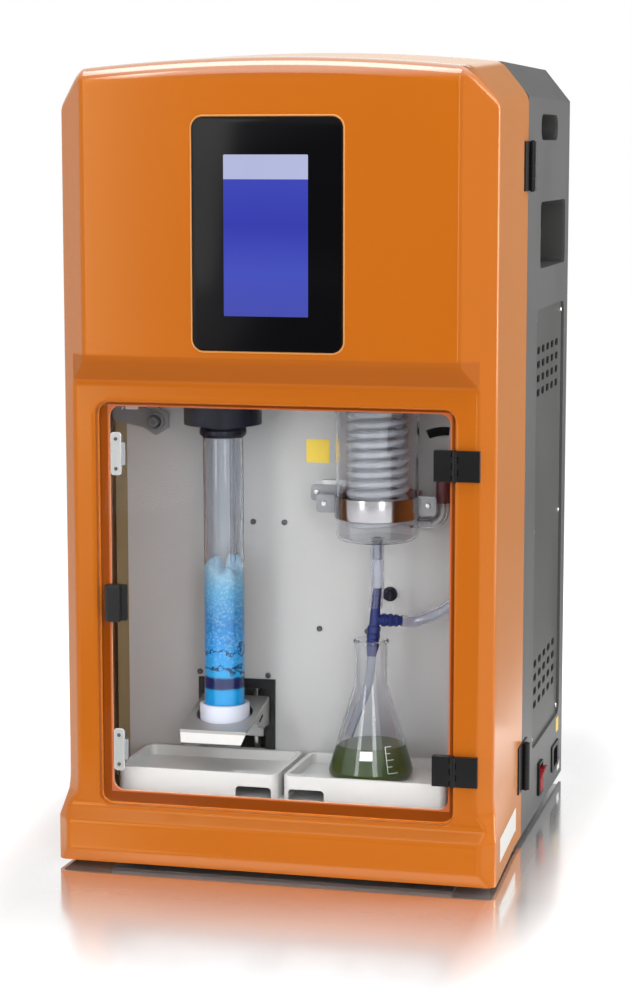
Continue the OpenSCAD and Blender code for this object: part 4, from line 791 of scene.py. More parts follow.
def skin_faces(rows, fill, start):
    """Faces of one skin, with the numbers of its rows and of its fill's rows."""
    wide, across = len(rows[0]), len(fill[0])
    number = [[start + i * wide + j for j in range(wide)] for i in range(len(rows))]
    base = start + len(rows) * wide
    inner = [[base + i * across + j for j in range(across)] for i in range(len(fill))]
    last, half = number[-1], wide // 2
    for i, line in enumerate(inner):
        line[0], line[-1] = last[i], last[wide - 1 - i]
    inner.append(last[half - across // 2:half + across // 2 + 1])
    pairs = [pair for grid in (number, inner) for pair in zip(grid, grid[1:])]
    return [quad for a, b in pairs for quad in strip(a, b)], number, inner


outer, inner = outer_rows + outer_fill, inner_rows + inner_fill
points = [p for row in outer + inner for p in row]
faces, outer_no, outer_mid = skin_faces(outer_rows, outer_fill, 0)
inner_faces, inner_no, inner_mid = skin_faces(inner_rows, inner_fill, sum(map(len, outer)))
faces += inner_faces + strip(outer_no[0], inner_no[0]) + strip(outer_mid[0], inner_mid[0])
for end in (0, -1):
    faces += strip([r[end] for r in outer_no], [r[end] for r in inner_no])
cover = piece("moulded_cover", points, faces)
loose = bmesh.new()
loose.from_mesh(cover.data)
bmesh.ops.delete(loose, geom=[v for v in loose.verts if not v.link_faces], context="VERTS")
bmesh.ops.dissolve_degenerate(loose, edges=loose.edges, dist=SAME_PLACE)
print("cover shell:", len(loose.faces), "faces,", sum(not e.is_manifold for e in loose.edges), "open edges")
loose.to_mesh(cover.data)
loose.free()

# %% [markdown]
# ## Openings in the cover
# The door lies in a sunken frame with a lip behind it, and the screen sits over a hole in the
# face. A moulder would make these with slides in the tool. Here a boolean joins the frame to
# the skin and cuts the recess, the window and the hole, with a small round at the recess's
# rim so that its edge catches light.

# %% Cutting with a tool
def cut(target, tool, operation="DIFFERENCE"):
    """Cuts or joins a tool into a target and removes the tool."""
    work = target.modifiers.new("cut", "BOOLEAN")
    work.operation, work.object, work.solver = operation, tool, "EXACT"
    bpy.context.view_layer.update()
    worked = target.evaluated_get(bpy.context.evaluated_depsgraph_get())
    result = bpy.data.meshes.new_from_object(worked)
    target.modifiers.clear()
    target.data = result
    bpy.data.objects.remove(tool)


def widened(box, by):
    """A box of [left, low, right, high] grown on every side."""
    return (box[0] - by, box[1] - by, box[2] + by, box[3] + by)


def rimmed_tool(name, box, r, profile):
    """A rounded prism whose outline widens towards the front: a profile of [depth, widening]."""
    rings = [[(x, -q, z) for x, z in box_outline(*widened(box, w), r + w, 10)] for q, w in profile]
    n = len(rings[0])
    walls = [[i * n + k, i * n + (k + 1) % n, (i + 1) * n + (k + 1) % n, (i + 1) * n + k]
             for i in range(len(rings) - 1) for k in range(n)]
    ends = [list(range(n)), list(range((len(rings) - 1) * n, len(rings) * n))]
    return piece(name, [p for ring in rings for p in ring], walls + ends)


DOOR, DOOR_GAP, FRAME_LIP = (-181.0, 65.0, 181.0, 474.0), 1.0, 9.0
WINDOW = (-170.0, 78.0, 176.0, 470.0)
BEZEL, BEZEL_LAP = (-75.0, 529.0, 75.0, 754.0), 6.0
RIM = [(180.0, 0.0), (186.4, 0.0), (187.0, 0.15), (187.5, 0.5), (187.85, 1.0), (188.0, 1.6), (196.0, 1.6)]
cut(cover, rimmed_tool("frame", widened(DOOR, FRAME_LIP), 19, [(176, 0), (187, 0)]), "UNION")
cut(cover, rimmed_tool("recess", widened(DOOR, DOOR_GAP), 12, RIM))
cut(cover, rimmed_tool("window", WINDOW, 11, [(170.0, 0), (184.0, 0)]))
cut(cover, rimmed_tool("hole", widened(BEZEL, -BEZEL_LAP), 8, [(198.0, 0), (210.0, 0)]))
shade(cover, 32)
evened = cover.modifiers.new("even_shading", "WEIGHTED_NORMAL")
evened.keep_sharp = True
dressed(cover, "cover", cover_orange, "cover_orange", "front_cover")
print("cover with openings:", len(cover.data.polygons), "faces")

# %% [markdown]
# ## Housing, hinges and fittings
# Behind the seam the unit is folded and powder-coated sheet with plastic fittings let into it.
# The CAD nodes have these shapes already, so each only gets softened edges and its finish. A
# table of widths keeps the choice for each node in sight: a moulding takes a wide edge, thin
# sheet a narrow one.

# %% Softened nodes in groups
def soften_all(finish, widths):
    """Softened copies of CAD nodes in one finish, each on its own body."""
    for node, width in widths.items():
        dressed(softened(node, width), node_body[node], finish, node_slot[node])
    print(finish.name, "on", ", ".join(widths))


soften_all(housing_grey, {"rear_housing": 1.2, "rear_panel": 0.4})
soften_all(panel_grey, {"vent_panels": 0.35, "grip_pockets": 0.6, "port_pocket": 0.6})
soften_all(hinge_black, {"housing_hinge_leaves": 0.4, "cover_hinge_leaves": 0.4, "frame_hinge_leaves": 0.6,
                         "door_hinge_leaves": 0.6, "switch_bezel": 0.6, "power_inlet": 0.5, "slot_trim": 0.5,
                         "side_ports": 0.4, "rear_ports": 0.5, "reagent_pump": 0.8, "display_module": 0.5,
                         "cover_hinge_pins": 0.3, "door_hinge_pins": 0.2})
soften_all(rubber_black, {"feet": 1.2})
soften_all(rocker_red, {"power_rocker": 0.8})
soften_all(handle_black, {"door_handle": 1.6})

# %% [markdown]
# ## The chamber's back wall
# The chamber is closed at the back by a wall of painted sheet that carries the glassware. Near
# its edges the white gives way to olive brown, a painted shade that stands for the dark gap
# between the wall and the cover's inner side. Two pieces would need a seam, so one finish changes
# with the distance from the middle.

# %% Back wall
PAINTED_SHADE_HALF = 0.1945
wall = Finish("white_wall_paint")
where = wall.place()
tone, fine = wall.noise(where, 9.0, 4.0), wall.noise(where, 900.0, 2.0)
white = wall.mixed(tone, (0.395, 0.395, 0.395), (0.42, 0.42, 0.418))
# painted shade: beyond this half-width the wall is coloured olive brown for the shaded gap by the cover
painted_shade_edge = wall.along(where, "X").size() > PAINTED_SHADE_HALF
wall.surface({"Base Color": wall.mixed(painted_shade_edge, white, (0.215, 0.170, 0.085)),
              "Roughness": 0.34 + tone * 0.08, "Normal": wall.bump(fine, 1.5e-5)})
soften_all(wall.material, {"bulkhead": 0.3})

# %% [markdown]
# ## Trays, brackets and inner units
# The rest of the chamber is a white floor, two pale moulded trays, the lifter's stainless sheet,
# castings and rubber. These nodes are right in the CAD model, so softening them is enough. The
# trays get the widest edge, since a moulded rim is round to the touch. Only the seal below the
# stopper is turned anew, because its round lips are what shows of it.

# %% Chamber sheet, trays and inner units
TUBE = (-78.0, -88.0)
soften_all(chamber_white, {"chamber_floor": 0.4})
soften_all(tray_white, {"tray_left": 1.6, "tray_right": 1.6})
soften_all(sheet_steel, {"lift_plate": 0.35})
soften_all(catch_zinc, {"catch_plates": 0.25})
soften_all(cast_grey, {"cam_latch": 0.7})
soften_all(plate_steel, {"base_plate": 0.4, "steam_generator": 1.0, "power_supply": 0.8,
                         "clamp_bracket": 0.4, "lift_carriage": 0.4, "rod_mounts": 0.5,
                         "catch_magnets": 0.4, "bulkhead_ports": 0.4})
soften_all(rod_steel, {"lift_rods": 0.4})
soften_all(stopper_black, {"stopper_block": 1.4, "hose_grommet": 0.6})
seal_line = [(14, 430.2, 0), (22.2, 430.2, 1.4), (24.0, 433.2, 2.0), (23.9, 437.5, 1.5), (22.2, 439.5, 1.0),
             (22.2, 443.2, 0), (14, 443.2, 0)]
seal = turned("stopper_seal_ring", rounded(seal_line, 5, loop=False), TUBE)
dressed(seal, "chassis", stopper_black, node_slot["stopper_seal"], "stopper_seal")

# %% [markdown]
# ## Clear door and screen
# The door is a sheet of clear plastic with polished edges, and the screen sits in a bezel of
# black glass with an orange rim. Door and bezel are cut sheet with eased edges, so slabs make
# them. The rim is a thin round bead, which a ring swept along the bezel's outline gives. Its
# paler orange is a painted highlight along the edge of the cover's recess.

# %% Door and bezel
DOOR_DEEP, BEZEL_DEEP = (-184.0, -180.0), (-COVER_D - 2.0, -COVER_D)
door = slab("door_sheet", box_outline(*DOOR, 11, 10), 1, *DOOR_DEEP, 0.8, 3)
dressed(door, "door", door_clear, "clear_door", "door_panel")
bezel_black = coated("black_bezel_glass", (0.004, 0.004, 0.005), 0.16, 0.2, 400.0, 2e-6, 6.0,
                     {"Specular IOR Level": 0.09})
bezel = slab("bezel_glass", box_outline(*BEZEL, 11, 10), 1, *BEZEL_DEEP, 0.9, 3)
dressed(bezel, "cover", bezel_black, "bezel_black", "screen_bezel")
rim = [(x, -COVER_D, z) for x, z in box_outline(*widened(BEZEL, 1.0), 12, 10)]
# painted highlight: the rim bead is coloured paler than the cover, for the glint along the recess edge
rim_highlight_paint = coated("bezel_rim_painted_highlight", (0.80, 0.34, 0.08), 0.20, 0.05, 300.0, 2e-5)
dressed(swept("bezel_rim", rim + rim[:1], 1.1, 10), "cover", rim_highlight_paint, node_slot["front_cover"])
print("door and bezel drawn")

# %% [markdown]
# ## The picture on the screen
# The lit screen shows a plain blue field under a pale heading. A picture file could be laid on it,
# but a finish that glows, with its tones set by height, needs none and stays sharp at any size.

# %% The picture on the screen
SCREEN, HEADING_Z = (-43.0, 563.0, 41.0, 718.0), 0.6945
picture = Finish("screen_picture")
where = picture.place()
height = picture.along(where, "Z")
share = (height - SCREEN[1] / MM_PER_M) / ((SCREEN[3] - SCREEN[1]) / MM_PER_M)
glow = picture.noise(where, 30.0, 2.0)
field = picture.ramp(share + glow * 0.06, [(0.0, (0.060, 0.075, 0.42)), (0.30, (0.060, 0.080, 0.50)),
                                           (0.60, (0.035, 0.045, 0.42)), (0.84, (0.045, 0.060, 0.46))])
heading = picture.mixed(glow, (0.43, 0.47, 0.70), (0.47, 0.51, 0.74))
shown = picture.mixed(height > HEADING_Z, field, heading)
picture.surface({"Base Color": picture.mixed(glow, (0.004, 0.004, 0.008), (0.006, 0.006, 0.010)),
                 "Roughness": 0.12, **SATIN, "Emission Color": shown, "Emission Strength": 1.0})
screen = slab("screen_picture", box_outline(*SCREEN, 1.0, 3), 1, -207.15, -206.4, 0.1, 1)
dressed(screen, "cover", picture.material, "display_dark")
print("screen", tuple(round(v, 3) for v in screen.dimensions))

# %% [markdown]
# ## Digestion tube
# Steam passes through the sample in a thick glass tube that stands in a white cup. Both have a
# wall, which shows through glass, so each form needs an outer and an inner skin. Spinning one
# line that goes up the outside and comes down the inside gives both at once.

# %% Tube and cup
def blown(name, corners, at, steps=8, spin=96, sharp=35):
    """Spins a line of rounded corners that starts and ends on its axis."""
    return turned(name, rounded(corners, steps, loop=False), at, spin, False, sharp)


tube = blown("tube_glass", [(0, 136.2, 0), (20.5, 136.2, 18), (20.5, 430.0, 0.9), (18.5, 430.0, 0.9),
                            (18.5, 138.4, 16.5), (0, 138.4, 0)], TUBE)
dressed(tube, "lifter", tube_glass, "clear_glass", "digestion_tube")
cup = blown("tube_cup_ring", [(0, 131, 0), (25.5, 131, 2.5), (25.5, 155, 1.6), (20.9, 155, 1.2),
                              (20.9, 136, 2), (0, 136, 0)], TUBE, 5)
dressed(cup, "lifter", cup_white, "white_polymer", "tube_cup")
print("tube and cup", len(tube.data.polygons), len(cup.data.polygons))

# %% [markdown]
# ## Steam tube, splash head and vapour bridge
# A thin tube brings the steam down, and the vapour goes up through a round splash head and over
# a bent bridge to the condenser. The head is spun like the tube. The others are drawn tube, bent
# over a flame, so a ring is swept along straight runs and quarter turns.

# %% Steam tube, head and bridge
HEAD_FOOT, HEAD_Z, HEAD_TOP, BULB_STEPS = 467.2, 555.2, 617.2, 28


def bulb(r, foot, neck):
    """A bulb's line of [radius, height], from the radius of its foot to that of its neck."""
    turns = np.linspace(math.asin(foot / r), math.pi - math.asin(neck / r), BULB_STEPS)
    return [(r * math.sin(a), HEAD_Z - r * math.cos(a)) for a in turns]


def bend(centre, start, end, r, steps=12):
    """A quarter turn about a centre between two directions."""
    centre, start, end = (np.asarray(v, float) for v in (centre, start, end))
    turns = np.linspace(0, math.pi / 2, steps + 1)
    return [centre + r * (math.cos(a) * start + math.sin(a) * end) for a in turns]


COND = (82.0, -88.0)
STEAM_X, STEAM_END = -68.5, (-68.5, -34, 499.2)
STEAM_R, STEAM_BORE, NECK_R, NECK_BORE = 3.0, 2.0, 9.0, 7.4
steam_path = [(STEAM_X, -88, 173), (STEAM_X, -88, 330)]
steam_path += bend((STEAM_X, -74, 485.2), (0, -1, 0), (0, 0, 1), 14) + [STEAM_END]
steam_tube = swept("steam_tube_glass", steam_path, STEAM_R, 20, STEAM_BORE)
dressed(steam_tube, "chassis", lab_glass, node_slot["steam_tube"], "steam_tube")
head_line = [(5.3, HEAD_FOOT)] + bulb(29, 5.3, NECK_R) + [(NECK_R, HEAD_TOP), (NECK_BORE, HEAD_TOP)]
head_line += bulb(27.4, 3.7, NECK_BORE)[::-1] + [(3.7, HEAD_FOOT)]
head = turned("splash_head_glass", head_line, TUBE)
dressed(head, "chassis", lab_glass, node_slot["splash_head"], "splash_head")
bridge_path = [(*TUBE, HEAD_TOP)] + bend((-52, -88, 668), (-1, 0, 0), (0, 0, 1), 26)
bridge_path += bend((56, -88, 668), (0, 0, 1), (1, 0, 0), 26) + [(*COND, 654)]
bridge = swept("bridge_glass", bridge_path, NECK_R, 32, NECK_BORE)
dressed(bridge, "chassis", lab_glass, node_slot["vapour_bridge"], "vapour_bridge")
print("steam tube, head and bridge:", [len(made.data.polygons) for made in (steam_tube, head, bridge)])

# %% [markdown]
# ## Condenser jacket
# The vapour cools in a wide glass jacket with two bent side arms. A blower fuses the arms to the
# jacket while both are hot, and inside there is no seam. Here the outsides are joined by a
# boolean and the insides are cut out together, so that the arms open into the jacket.

# %% Jacket with its arms
ARM_X, ARM_END, ARM_RISE, ARM_BEND, ARM_R, ARM_BORE = 130.63, 142.63, 28.0, 12.0, 5.6, 4.1
LOW_ARM, HIGH_ARM = (-60, 344, 1), (-116, 589, -1)


def arm_path(depth, z, up, start, more):
    """The middle line of a side arm, turned up or down at its end."""
    turn = bend((ARM_X, depth, z + up * ARM_BEND), (0, 0, -up), (1, 0, 0), ARM_BEND, 10)
    return [(start, depth, z)] + turn + [(ARM_END, depth, z + up * (ARM_RISE + more))]


jacket = blown("condenser_glass", [(0, 310, 0), (5, 310, 1.0), (5, 330, 3), (41.5, 330, 8), (41.5, 640, 22),
                                   (9, 640, 5), (9, 654, 0.8), (0, 654, 0)], COND)
hollow = blown("hollow", [(0, 308, 0), (3.4, 308, 0), (3.4, 332.2, 2), (39.3, 332.2, 5.8), (39.3, 637.8, 20),
                          (7.4, 637.8, 3), (7.4, 656, 0), (0, 656, 0)], COND)
for side_arm in (LOW_ARM, HIGH_ARM):
    cut(jacket, swept("arm", arm_path(*side_arm, 108.0, 0), ARM_R, 24), "UNION")
cut(jacket, hollow)
for side_arm in (LOW_ARM, HIGH_ARM):
    cut(jacket, swept("arm_bore", arm_path(*side_arm, 104.0, 2), ARM_BORE, 24))
shade(jacket, 40)
dressed(jacket, "chassis", lab_glass, "clear_glass", "condenser_jacket")
print("jacket", len(jacket.data.polygons), "faces")

# %% [markdown]
# ## Condenser coil
# Cold water runs through a glass coil inside the jacket. It is the hardest piece to blow: two
# dozen even loops with straight ends that leave through the side arms. A screw modifier would
# make the loops but not the ends, so a helix of points, with the ends added, carries one ring.

# %% Coil
COIL_R, COIL_PITCH, COIL_TURNS, COIL_STEPS, COIL_END = 28, 10, 24.5, 32, 96
coil = [(x, *LOW_ARM[:2]) for x in (ARM_X, COIL_END)]
for k in range(int(COIL_TURNS * COIL_STEPS) + 1):
    a = math.pi / 2 + 2 * math.pi * k / COIL_STEPS
    coil.append((COND[0] + COIL_R * math.cos(a), COND[1] + COIL_R * math.sin(a),
                 LOW_ARM[1] + COIL_PITCH * k / COIL_STEPS))
coil += [(x, *HIGH_ARM[:2]) for x in (COIL_END, ARM_X)]
coil_glass = clear("coil_glass", (0.87, 0.88, 0.915), 0.06, 1.24, (0.92, 0.93, 0.95), weight=0.74)
dressed(swept("coil_tube", coil, 3.5, 14, 2.3, 60), "chassis", coil_glass, "clear_glass", "condenser_coil")
print("coil of", len(coil), "points")

# %% [markdown]
# ## Clamp band and its ears
# A bright steel band holds the jacket to the wall, with flat ears for its screws. The band is
# strip steel rolled to a ring, so a thin outline is spun. The ears are cut as slabs with one
# round end each.

# %% Clamp band and its ears
band_line = rounded([(41.7, 353, 0.3), (43.2, 353, 0.5), (43.2, 375, 0.5), (41.7, 375, 0.3)], 4)
band = turned("clamp_band_ring", band_line, COND, 96)
dressed(band, "chassis", band_steel, "polished_steel", "clamp_band")
EAR_THICK = 2
ears = []
for x0, z0, r0, x1, z1, r1, depth in ((11.5, 366.3, 4, 41, 383, 0, -82), (19.5, 356, 4, 40, 374.5, 0, -92),
                                      (124, 356, 0, 143, 376, 4, -92)):
    outline = rounded([(x0, z0, r0), (x1, z0, r1), (x1, z1, r1), (x0, z1, r0)], 6)
    ears.append(slab("ear", outline, 1, depth, depth + EAR_THICK, 0.35, 2))
dressed(joined("clamp_ears", ears), "chassis", ear_grey, "polished_steel")
print("band with", len(ears), "ears")

# %% [markdown]
# ## The blue tee
# A blue barbed tee hangs below the condenser: one leg leads into the receiver and the arm takes
# a hose from the pump. Soft hoses never hang quite straight, so the tee leans a little to the
# left and forward. It is drawn in a frame of its own, which leans as one.

# %% The tee
TILT, LEAN, TURN = (math.radians(v) for v in (4.0, 3.5, 30.0))
TEE_Z, TEE_ARM = 280, 32
tee_side = np.array((math.cos(TILT), 0, -math.sin(TILT)))
tee_back = np.array((-math.sin(LEAN) * math.sin(TILT), math.cos(LEAN), -math.sin(LEAN) * math.cos(TILT)))
tee_down = np.cross(tee_back, tee_side)
tee_out = math.cos(TURN) * tee_side + math.sin(TURN) * tee_back


def on_tee(down, out=0.0):
    """A place on the tee: down its body from the hose, and out along its arm."""
    return np.array((*COND, TEE_Z)) + down * tee_down + out * tee_out


def barbed(name, line, out=None):
    """A barbed spigot from a line of [distance, radius], down the body or out along the arm."""
    places = [on_tee(d) if out is None else on_tee(out, d) for d, _ in line]
    return swept(name, places, [r for _, r in line], 28, sharp=30)


leg = [(0.2, 3.4), (0.8, 4.0), (7, 4.1), (7.5, 5.2), (8.5, 5.2), (9.1, 4.2), (14.8, 4.3), (15.3, 5.2),
       (16.3, 5.2), (16.9, 4.4), (22, 4.9), (26, 5.2), (37.5, 5.2), (38.6, 6.2), (39.4, 6.7), (43.5, 6.8),
       (44.2, 6.1), (45.6, 6.1), (46.4, 6.8), (51, 6.8), (51.8, 6.1), (53.2, 6.1), (54, 6.7), (62, 6.3),
       (63, 5.4), (69, 4.7)]
arm = [(0, 5.4), (7.0, 5.4), (8.0, 6.7), (11.5, 6.7), (12.3, 5.5), (14, 5.5), (15, 6.7), (18, 6.6),
       (18.8, 5.4), (20.5, 5.4), (21.5, 6.4), (24, 6.2), (24.8, 4.9), (28, 4.4)]
tee = barbed("tee_body", leg)
cut(tee, barbed("arm", arm, TEE_ARM), "UNION")
shade(tee, 30)
dressed(tee, "chassis", tee_blue, "blue_polymer", "tee_connector")
print("tee", len(tee.data.polygons), "faces")

# %% [markdown]
# ## Clear hoses
# Clear hose joins the condenser, the tee, the pump and the receiver. It is pushed on by hand, so
# each route is a list of given places, with a smooth curve through them. The short sleeve
# over the tee's barbs is stretched, which a small ripple in its radius shows.

# %% Clear hoses
RIPPLE, RIPPLE_STEP, RIPPLED = 0.3, 2.1, range(9, 34)
outlet = through([(*COND, 329.8), (*COND, 312), (*COND, 296), on_tee(0), on_tee(10), on_tee(20)], 10)
ripple = [6.7 + RIPPLE * math.sin(k * RIPPLE_STEP) * (k in RIPPLED) for k in range(len(outlet))]
dressed(swept("outlet_sleeve", outlet, ripple, 28, 5.3), "chassis", hose_clear, "clear_hose", "outlet_hose")
feed = through([on_tee(TEE_ARM, 28), on_tee(TEE_ARM, 41), (128, -65, 248), (140, -63, 253),
                (150.5, -64, 260.5), (160, -64.5, 267.5), (167.5, -61, 271), (170, -54, 272),
                (170, -48, 272)], 10)
dressed(swept("feed_line", feed, 6.0, 24, 4.6), "chassis", hose_clear, "clear_hose", "feed_hose")
drop = through([on_tee(69), on_tee(85), (72.5, -93.5, 176), (62, -94, 150), (54, -94, 128)], 12)
dressed(swept("delivery_line", drop, 4.7, 20, 3.4), "chassis", hose_clear, "clear_hose", "delivery_tube")
print("clear hoses of", len(outlet), len(feed), len(drop), "rings")

# %% [markdown]
# ## Rubber hoses
# Cooling water and steam run in thick rubber hose. Nothing shows of its bore, so these are solid
# rods along routes chosen in the same way. They bend in wide curves, as stiff hose does.

# %% Rubber hoses
def rubber_hose(name, node, route, radius, finish, slot, steps=10, sides=24):
    """A solid hose through given places, in place of its CAD node."""
    line = through(route, steps)
    dressed(swept(name, line, radius, sides, sharp=50), "chassis", finish, slot, node)
    print(name, "of", len(line), "rings")


rubber_hose("lower_rubber", "coolant_hose_lower", [
    (ARM_END, -60, 365), (ARM_END, -60, 384), (ARM_END, -58, 395), (ARM_END, -53, 402), (ARM_END, -48, 402),
], 7.0, rubber_maroon, "rubber_maroon")
rubber_hose("upper_rubber", "coolant_hose_upper", [
    (ARM_END, -116, 561), (ARM_END, -116, 546), (ARM_END, -108, 532), (ARM_END, -92, 525),
    (ARM_END, -60, 525), (ARM_END, -48, 525),
], 6.2, rubber_black, "rubber_black")
rubber_hose("steam_rubber", "steam_hose", [
    STEAM_END, (STEAM_X, -22, 499.2), (-50, 10, 480), (20, 90, 420), (80, 140, 340), (90, 150, 271),
    (90, 150, 243),
], 5.0, rubber_black, "rubber_black", 12, 20)

# %% [markdown]
# ## Receiver flask
# The receiver is a conical flask with a beaded rim, blown into a mould. Its line goes up the
# outside, over the bead and down the inside, and is spun like the tube's. The heights of its
# foot, shoulder and rim are named, because the liquid and the printed scale need them again.

# %% Flask
FLASK = (77.0, -93.0)
FLASK_Z, FLASK_HEEL, SHOULDER_Z, FLASK_TOP = 86.9, 95.9, 183.1, 228.4
FLASK_R, FLASK_NECK, FLASK_FLOOR = 42.5, 16.5, 2.2
flask = blown("flask_glass", [
    (0, FLASK_Z, 0), (FLASK_R, FLASK_Z, 7), (FLASK_R, FLASK_HEEL, 7), (FLASK_NECK, SHOULDER_Z, 14),
    (FLASK_NECK, FLASK_TOP - 4, 1.5), (18, FLASK_TOP - 2.5, 1.0), (18, FLASK_TOP, 1.3),
    (14.5, FLASK_TOP, 1.5), (14.5, SHOULDER_Z, 14), (40.3, FLASK_HEEL, 5),
    (40.3, FLASK_Z + FLASK_FLOOR, 5), (0, FLASK_Z + FLASK_FLOOR, 0)], FLASK)
dressed(flask, "receiver", lab_glass, "clear_glass", "flask")
print("flask", len(flask.data.polygons), "faces")

# %% [markdown]
# ## Boiling sample
# The photograph was taken in the middle of a run. The blue sample boils up in its tube, dark
# near the bottom and breaking into bubbles above. The glass in front already bends the view, so
# the liquid only needs its outer skin, tones by height and a lively bump.

# %% Boiling sample
SAMPLE_LOW, SAMPLE_TALL, FROTH = 0.138, 0.162, 0.29
WAVES = [(0.211, 0.0012), (0.191, 0.0016)]
sample = Finish("boiling_sample")
where = sample.place()
height = sample.along(where, "Z")
curl = sample.noise(where, 70.0, 4.0, 0.6)
fizz = sample.add("TexVoronoi", {"feature": "SMOOTH_F1"},
                  {"Vector": where, "Scale": 330.0, "Smoothness": 0.3})
level = (height - SAMPLE_LOW) / SAMPLE_TALL + (curl - 0.5) * 0.03
tone = sample.ramp(level, [
    (0.0, (0.0, 0.42, 0.95)), (0.20, (0.0, 0.52, 0.98)), (0.212, (0.002, 0.016, 0.15)),
    (0.275, (0.002, 0.016, 0.15)), (FROTH, (0.02, 0.55, 0.98)), (0.45, (0.01, 0.45, 0.95)),
    (0.62, (0.022, 0.33, 0.74)), (0.82, (0.14, 0.50, 0.78)), (1.0, (0.42, 0.60, 0.70))])
lively = ((level - FROTH) * 5.0).share()
spark = sample.mixed(lively * (1.0 - fizz * 1.9).share() * 0.6, tone, (0.55, 0.86, 0.97))
deep = sample.mixed(lively * (curl * 3.6 - 2.0).least(0.0).upto(0.8), spark, (0.010, 0.20, 0.52))
wavy = height + (curl - 0.5) * 0.045
first, second = ((wavy - at).size() < half for at, half in WAVES)
waves = first + second
sample.surface({"Base Color": sample.mixed(waves.upto(1.0) * 0.9, deep, (0.004, 0.03, 0.15)),
                "Roughness": 0.14 + curl * 0.1, "Transmission Weight": 0.12, "IOR": 1.33,
                "Normal": sample.bump(fizz * lively + curl, 6e-4)})
print("sample finish of", len(sample.tree.nodes), "nodes")

# %% [markdown]
# ## The sample's body
# The liquid's skin lies within the thickness of the glass, so that no gap shows between them. Its
# surface heaves as it boils. A still surface would be spun flat, so the upper points are lifted
# afterwards by two sine waves around the tube's axis.

# %% The sample's body
SAMPLE_R, STILL_TOP, HEAVE, CHOP = 19.9, 0.270, 0.007, 0.003
column = rounded([(0, 137.2, 0), (SAMPLE_R, 137.2, 17.3), (SAMPLE_R, 255, 0)], 8, loop=False)
crest = [(SAMPLE_R, 262), (SAMPLE_R, 288), (18, 296), (12, 299), (5, 300), (0, 300)]
boil = turned("sample_liquid", column + crest, TUBE, 72, False, 60)
tube_x, tube_y, _ = placed([(*TUBE, 0)])[0]
for corner in boil.data.vertices:
    if corner.co.z > STILL_TOP:
        turn = math.atan2(corner.co.y - tube_y, corner.co.x - tube_x)
        corner.co.z += HEAVE * math.sin(2 * turn + 0.6) + CHOP * math.sin(5 * turn)
dressed(boil, "lifter", sample.material, "clear_glass")
print("sample", tuple(round(v, 3) for v in boil.dimensions))

# %% [markdown]
# ## Distillate
# Green distillate stands low in the flask. It fits the glass all round, so its line follows the
# flask's own heel and cone up to its level. A volume would be truer and much slower; a skin with
# a little transmission and a swirl in its tone looks much the same from outside.

# %% Distillate
POOL_LOW, POOL_TALL = 0.089, 0.032
distillate = Finish("green_distillate")
where = distillate.place()
swirl = distillate.noise(where, 45.0, 4.0, 0.6)
height = distillate.along(where, "Z")
share = (height - POOL_LOW) / POOL_TALL
green = distillate.ramp(share + (swirl - 0.5) * 0.5, [
    (0.0, (0.085, 0.125, 0.022)), (0.5, (0.045, 0.085, 0.018)), (1.0, (0.080, 0.115, 0.045))])
distillate.surface({"Base Color": green, "Roughness": 0.10 + swirl * 0.15, "Transmission Weight": 0.15,
                    "IOR": 1.33, "Normal": distillate.bump(swirl, 6e-4)})
LEVEL, POOL_R, POOL_FLOOR = 121.0, 41.7, FLASK_Z + 1.2
cone = (40.2 - 14.4) / (SHOULDER_Z - FLASK_HEEL)
pool = blown("flask_liquid", [(0, POOL_FLOOR, 0), (POOL_R, POOL_FLOOR, 6), (POOL_R, FLASK_HEEL, 6),
                              (POOL_R - cone * (LEVEL - FLASK_HEEL), LEVEL, 0.8), (0, LEVEL - 0.6, 0)],
             FLASK, 6, 72, 50)
dressed(pool, "receiver", distillate.material, "clear_glass")
print("distillate", tuple(round(v, 3) for v in pool.dimensions))

# %% [markdown]
# ## Printed scale on the flask
# A flask carries a scale and a field to write on, in white ceramic ink that stands slightly proud
# of the glass. An image would need unwrapping. Thin rods and a bent plate laid on the cone catch
# light at their edges as the ink does.

# %% Printed scale on the flask
SCALE_TURN, SCALE_LOW, SCALE_HIGH = 38, 98, 124
TICKS = [(SCALE_LOW, 15), (104.5, 8), (111, 12), (117.5, 8), (SCALE_HIGH, 12)]
FIELD_Z, FIELD_TURNS = (111, 114, 117, 120), np.linspace(-4, 16, 8)
ink = coated("white_print", (0.82, 0.83, 0.84), 0.5, 0.05, 900.0, 1e-5)


def on_flask(turn, z, out=0.12):
    """A place on the flask's cone at a turn from the front in degrees, and a height."""
    r = FLASK_R - (FLASK_R - FLASK_NECK) / (SHOULDER_Z - FLASK_HEEL) * (z - FLASK_HEEL) + out
    return (FLASK[0] + r * math.sin(math.radians(turn)), FLASK[1] - r * math.cos(math.radians(turn)), z)


marks = [swept("mark", [on_flask(SCALE_TURN, z) for z in np.linspace(SCALE_LOW, SCALE_HIGH, 8)], 0.3, 6)]
for z, wide in TICKS:
    marks.append(swept("mark", [on_flask(SCALE_TURN + t, z) for t in np.linspace(0, wide, 5)], 0.3, 6))
grid = [on_flask(t, z, out) for out in (0.1, -0.2) for z in FIELD_Z for t in FIELD_TURNS]
front, back = np.arange(len(grid)).reshape(2, len(FIELD_Z), len(FIELD_TURNS))
quads = [quad for skin in (front, back) for a, b in zip(skin, skin[1:]) for quad in strip(a, b)]
for edge in ((slice(None), 0), (slice(None), -1), (0,), (-1,)):
    quads += strip(front[edge], back[edge])
marks.append(piece("field", grid, quads))
dressed(joined("flask_scale", marks), "receiver", ink, "white_polymer")
print("scale of", len(marks), "marks")

# %% [markdown]
# ## Screws
# Pan-head screws hold the panels, the catches and the hinges. Each head is a small turned form
# with a recess, set down on its surface. Linked copies would do, but all the heads on one body
# make one piece, so they are joined.

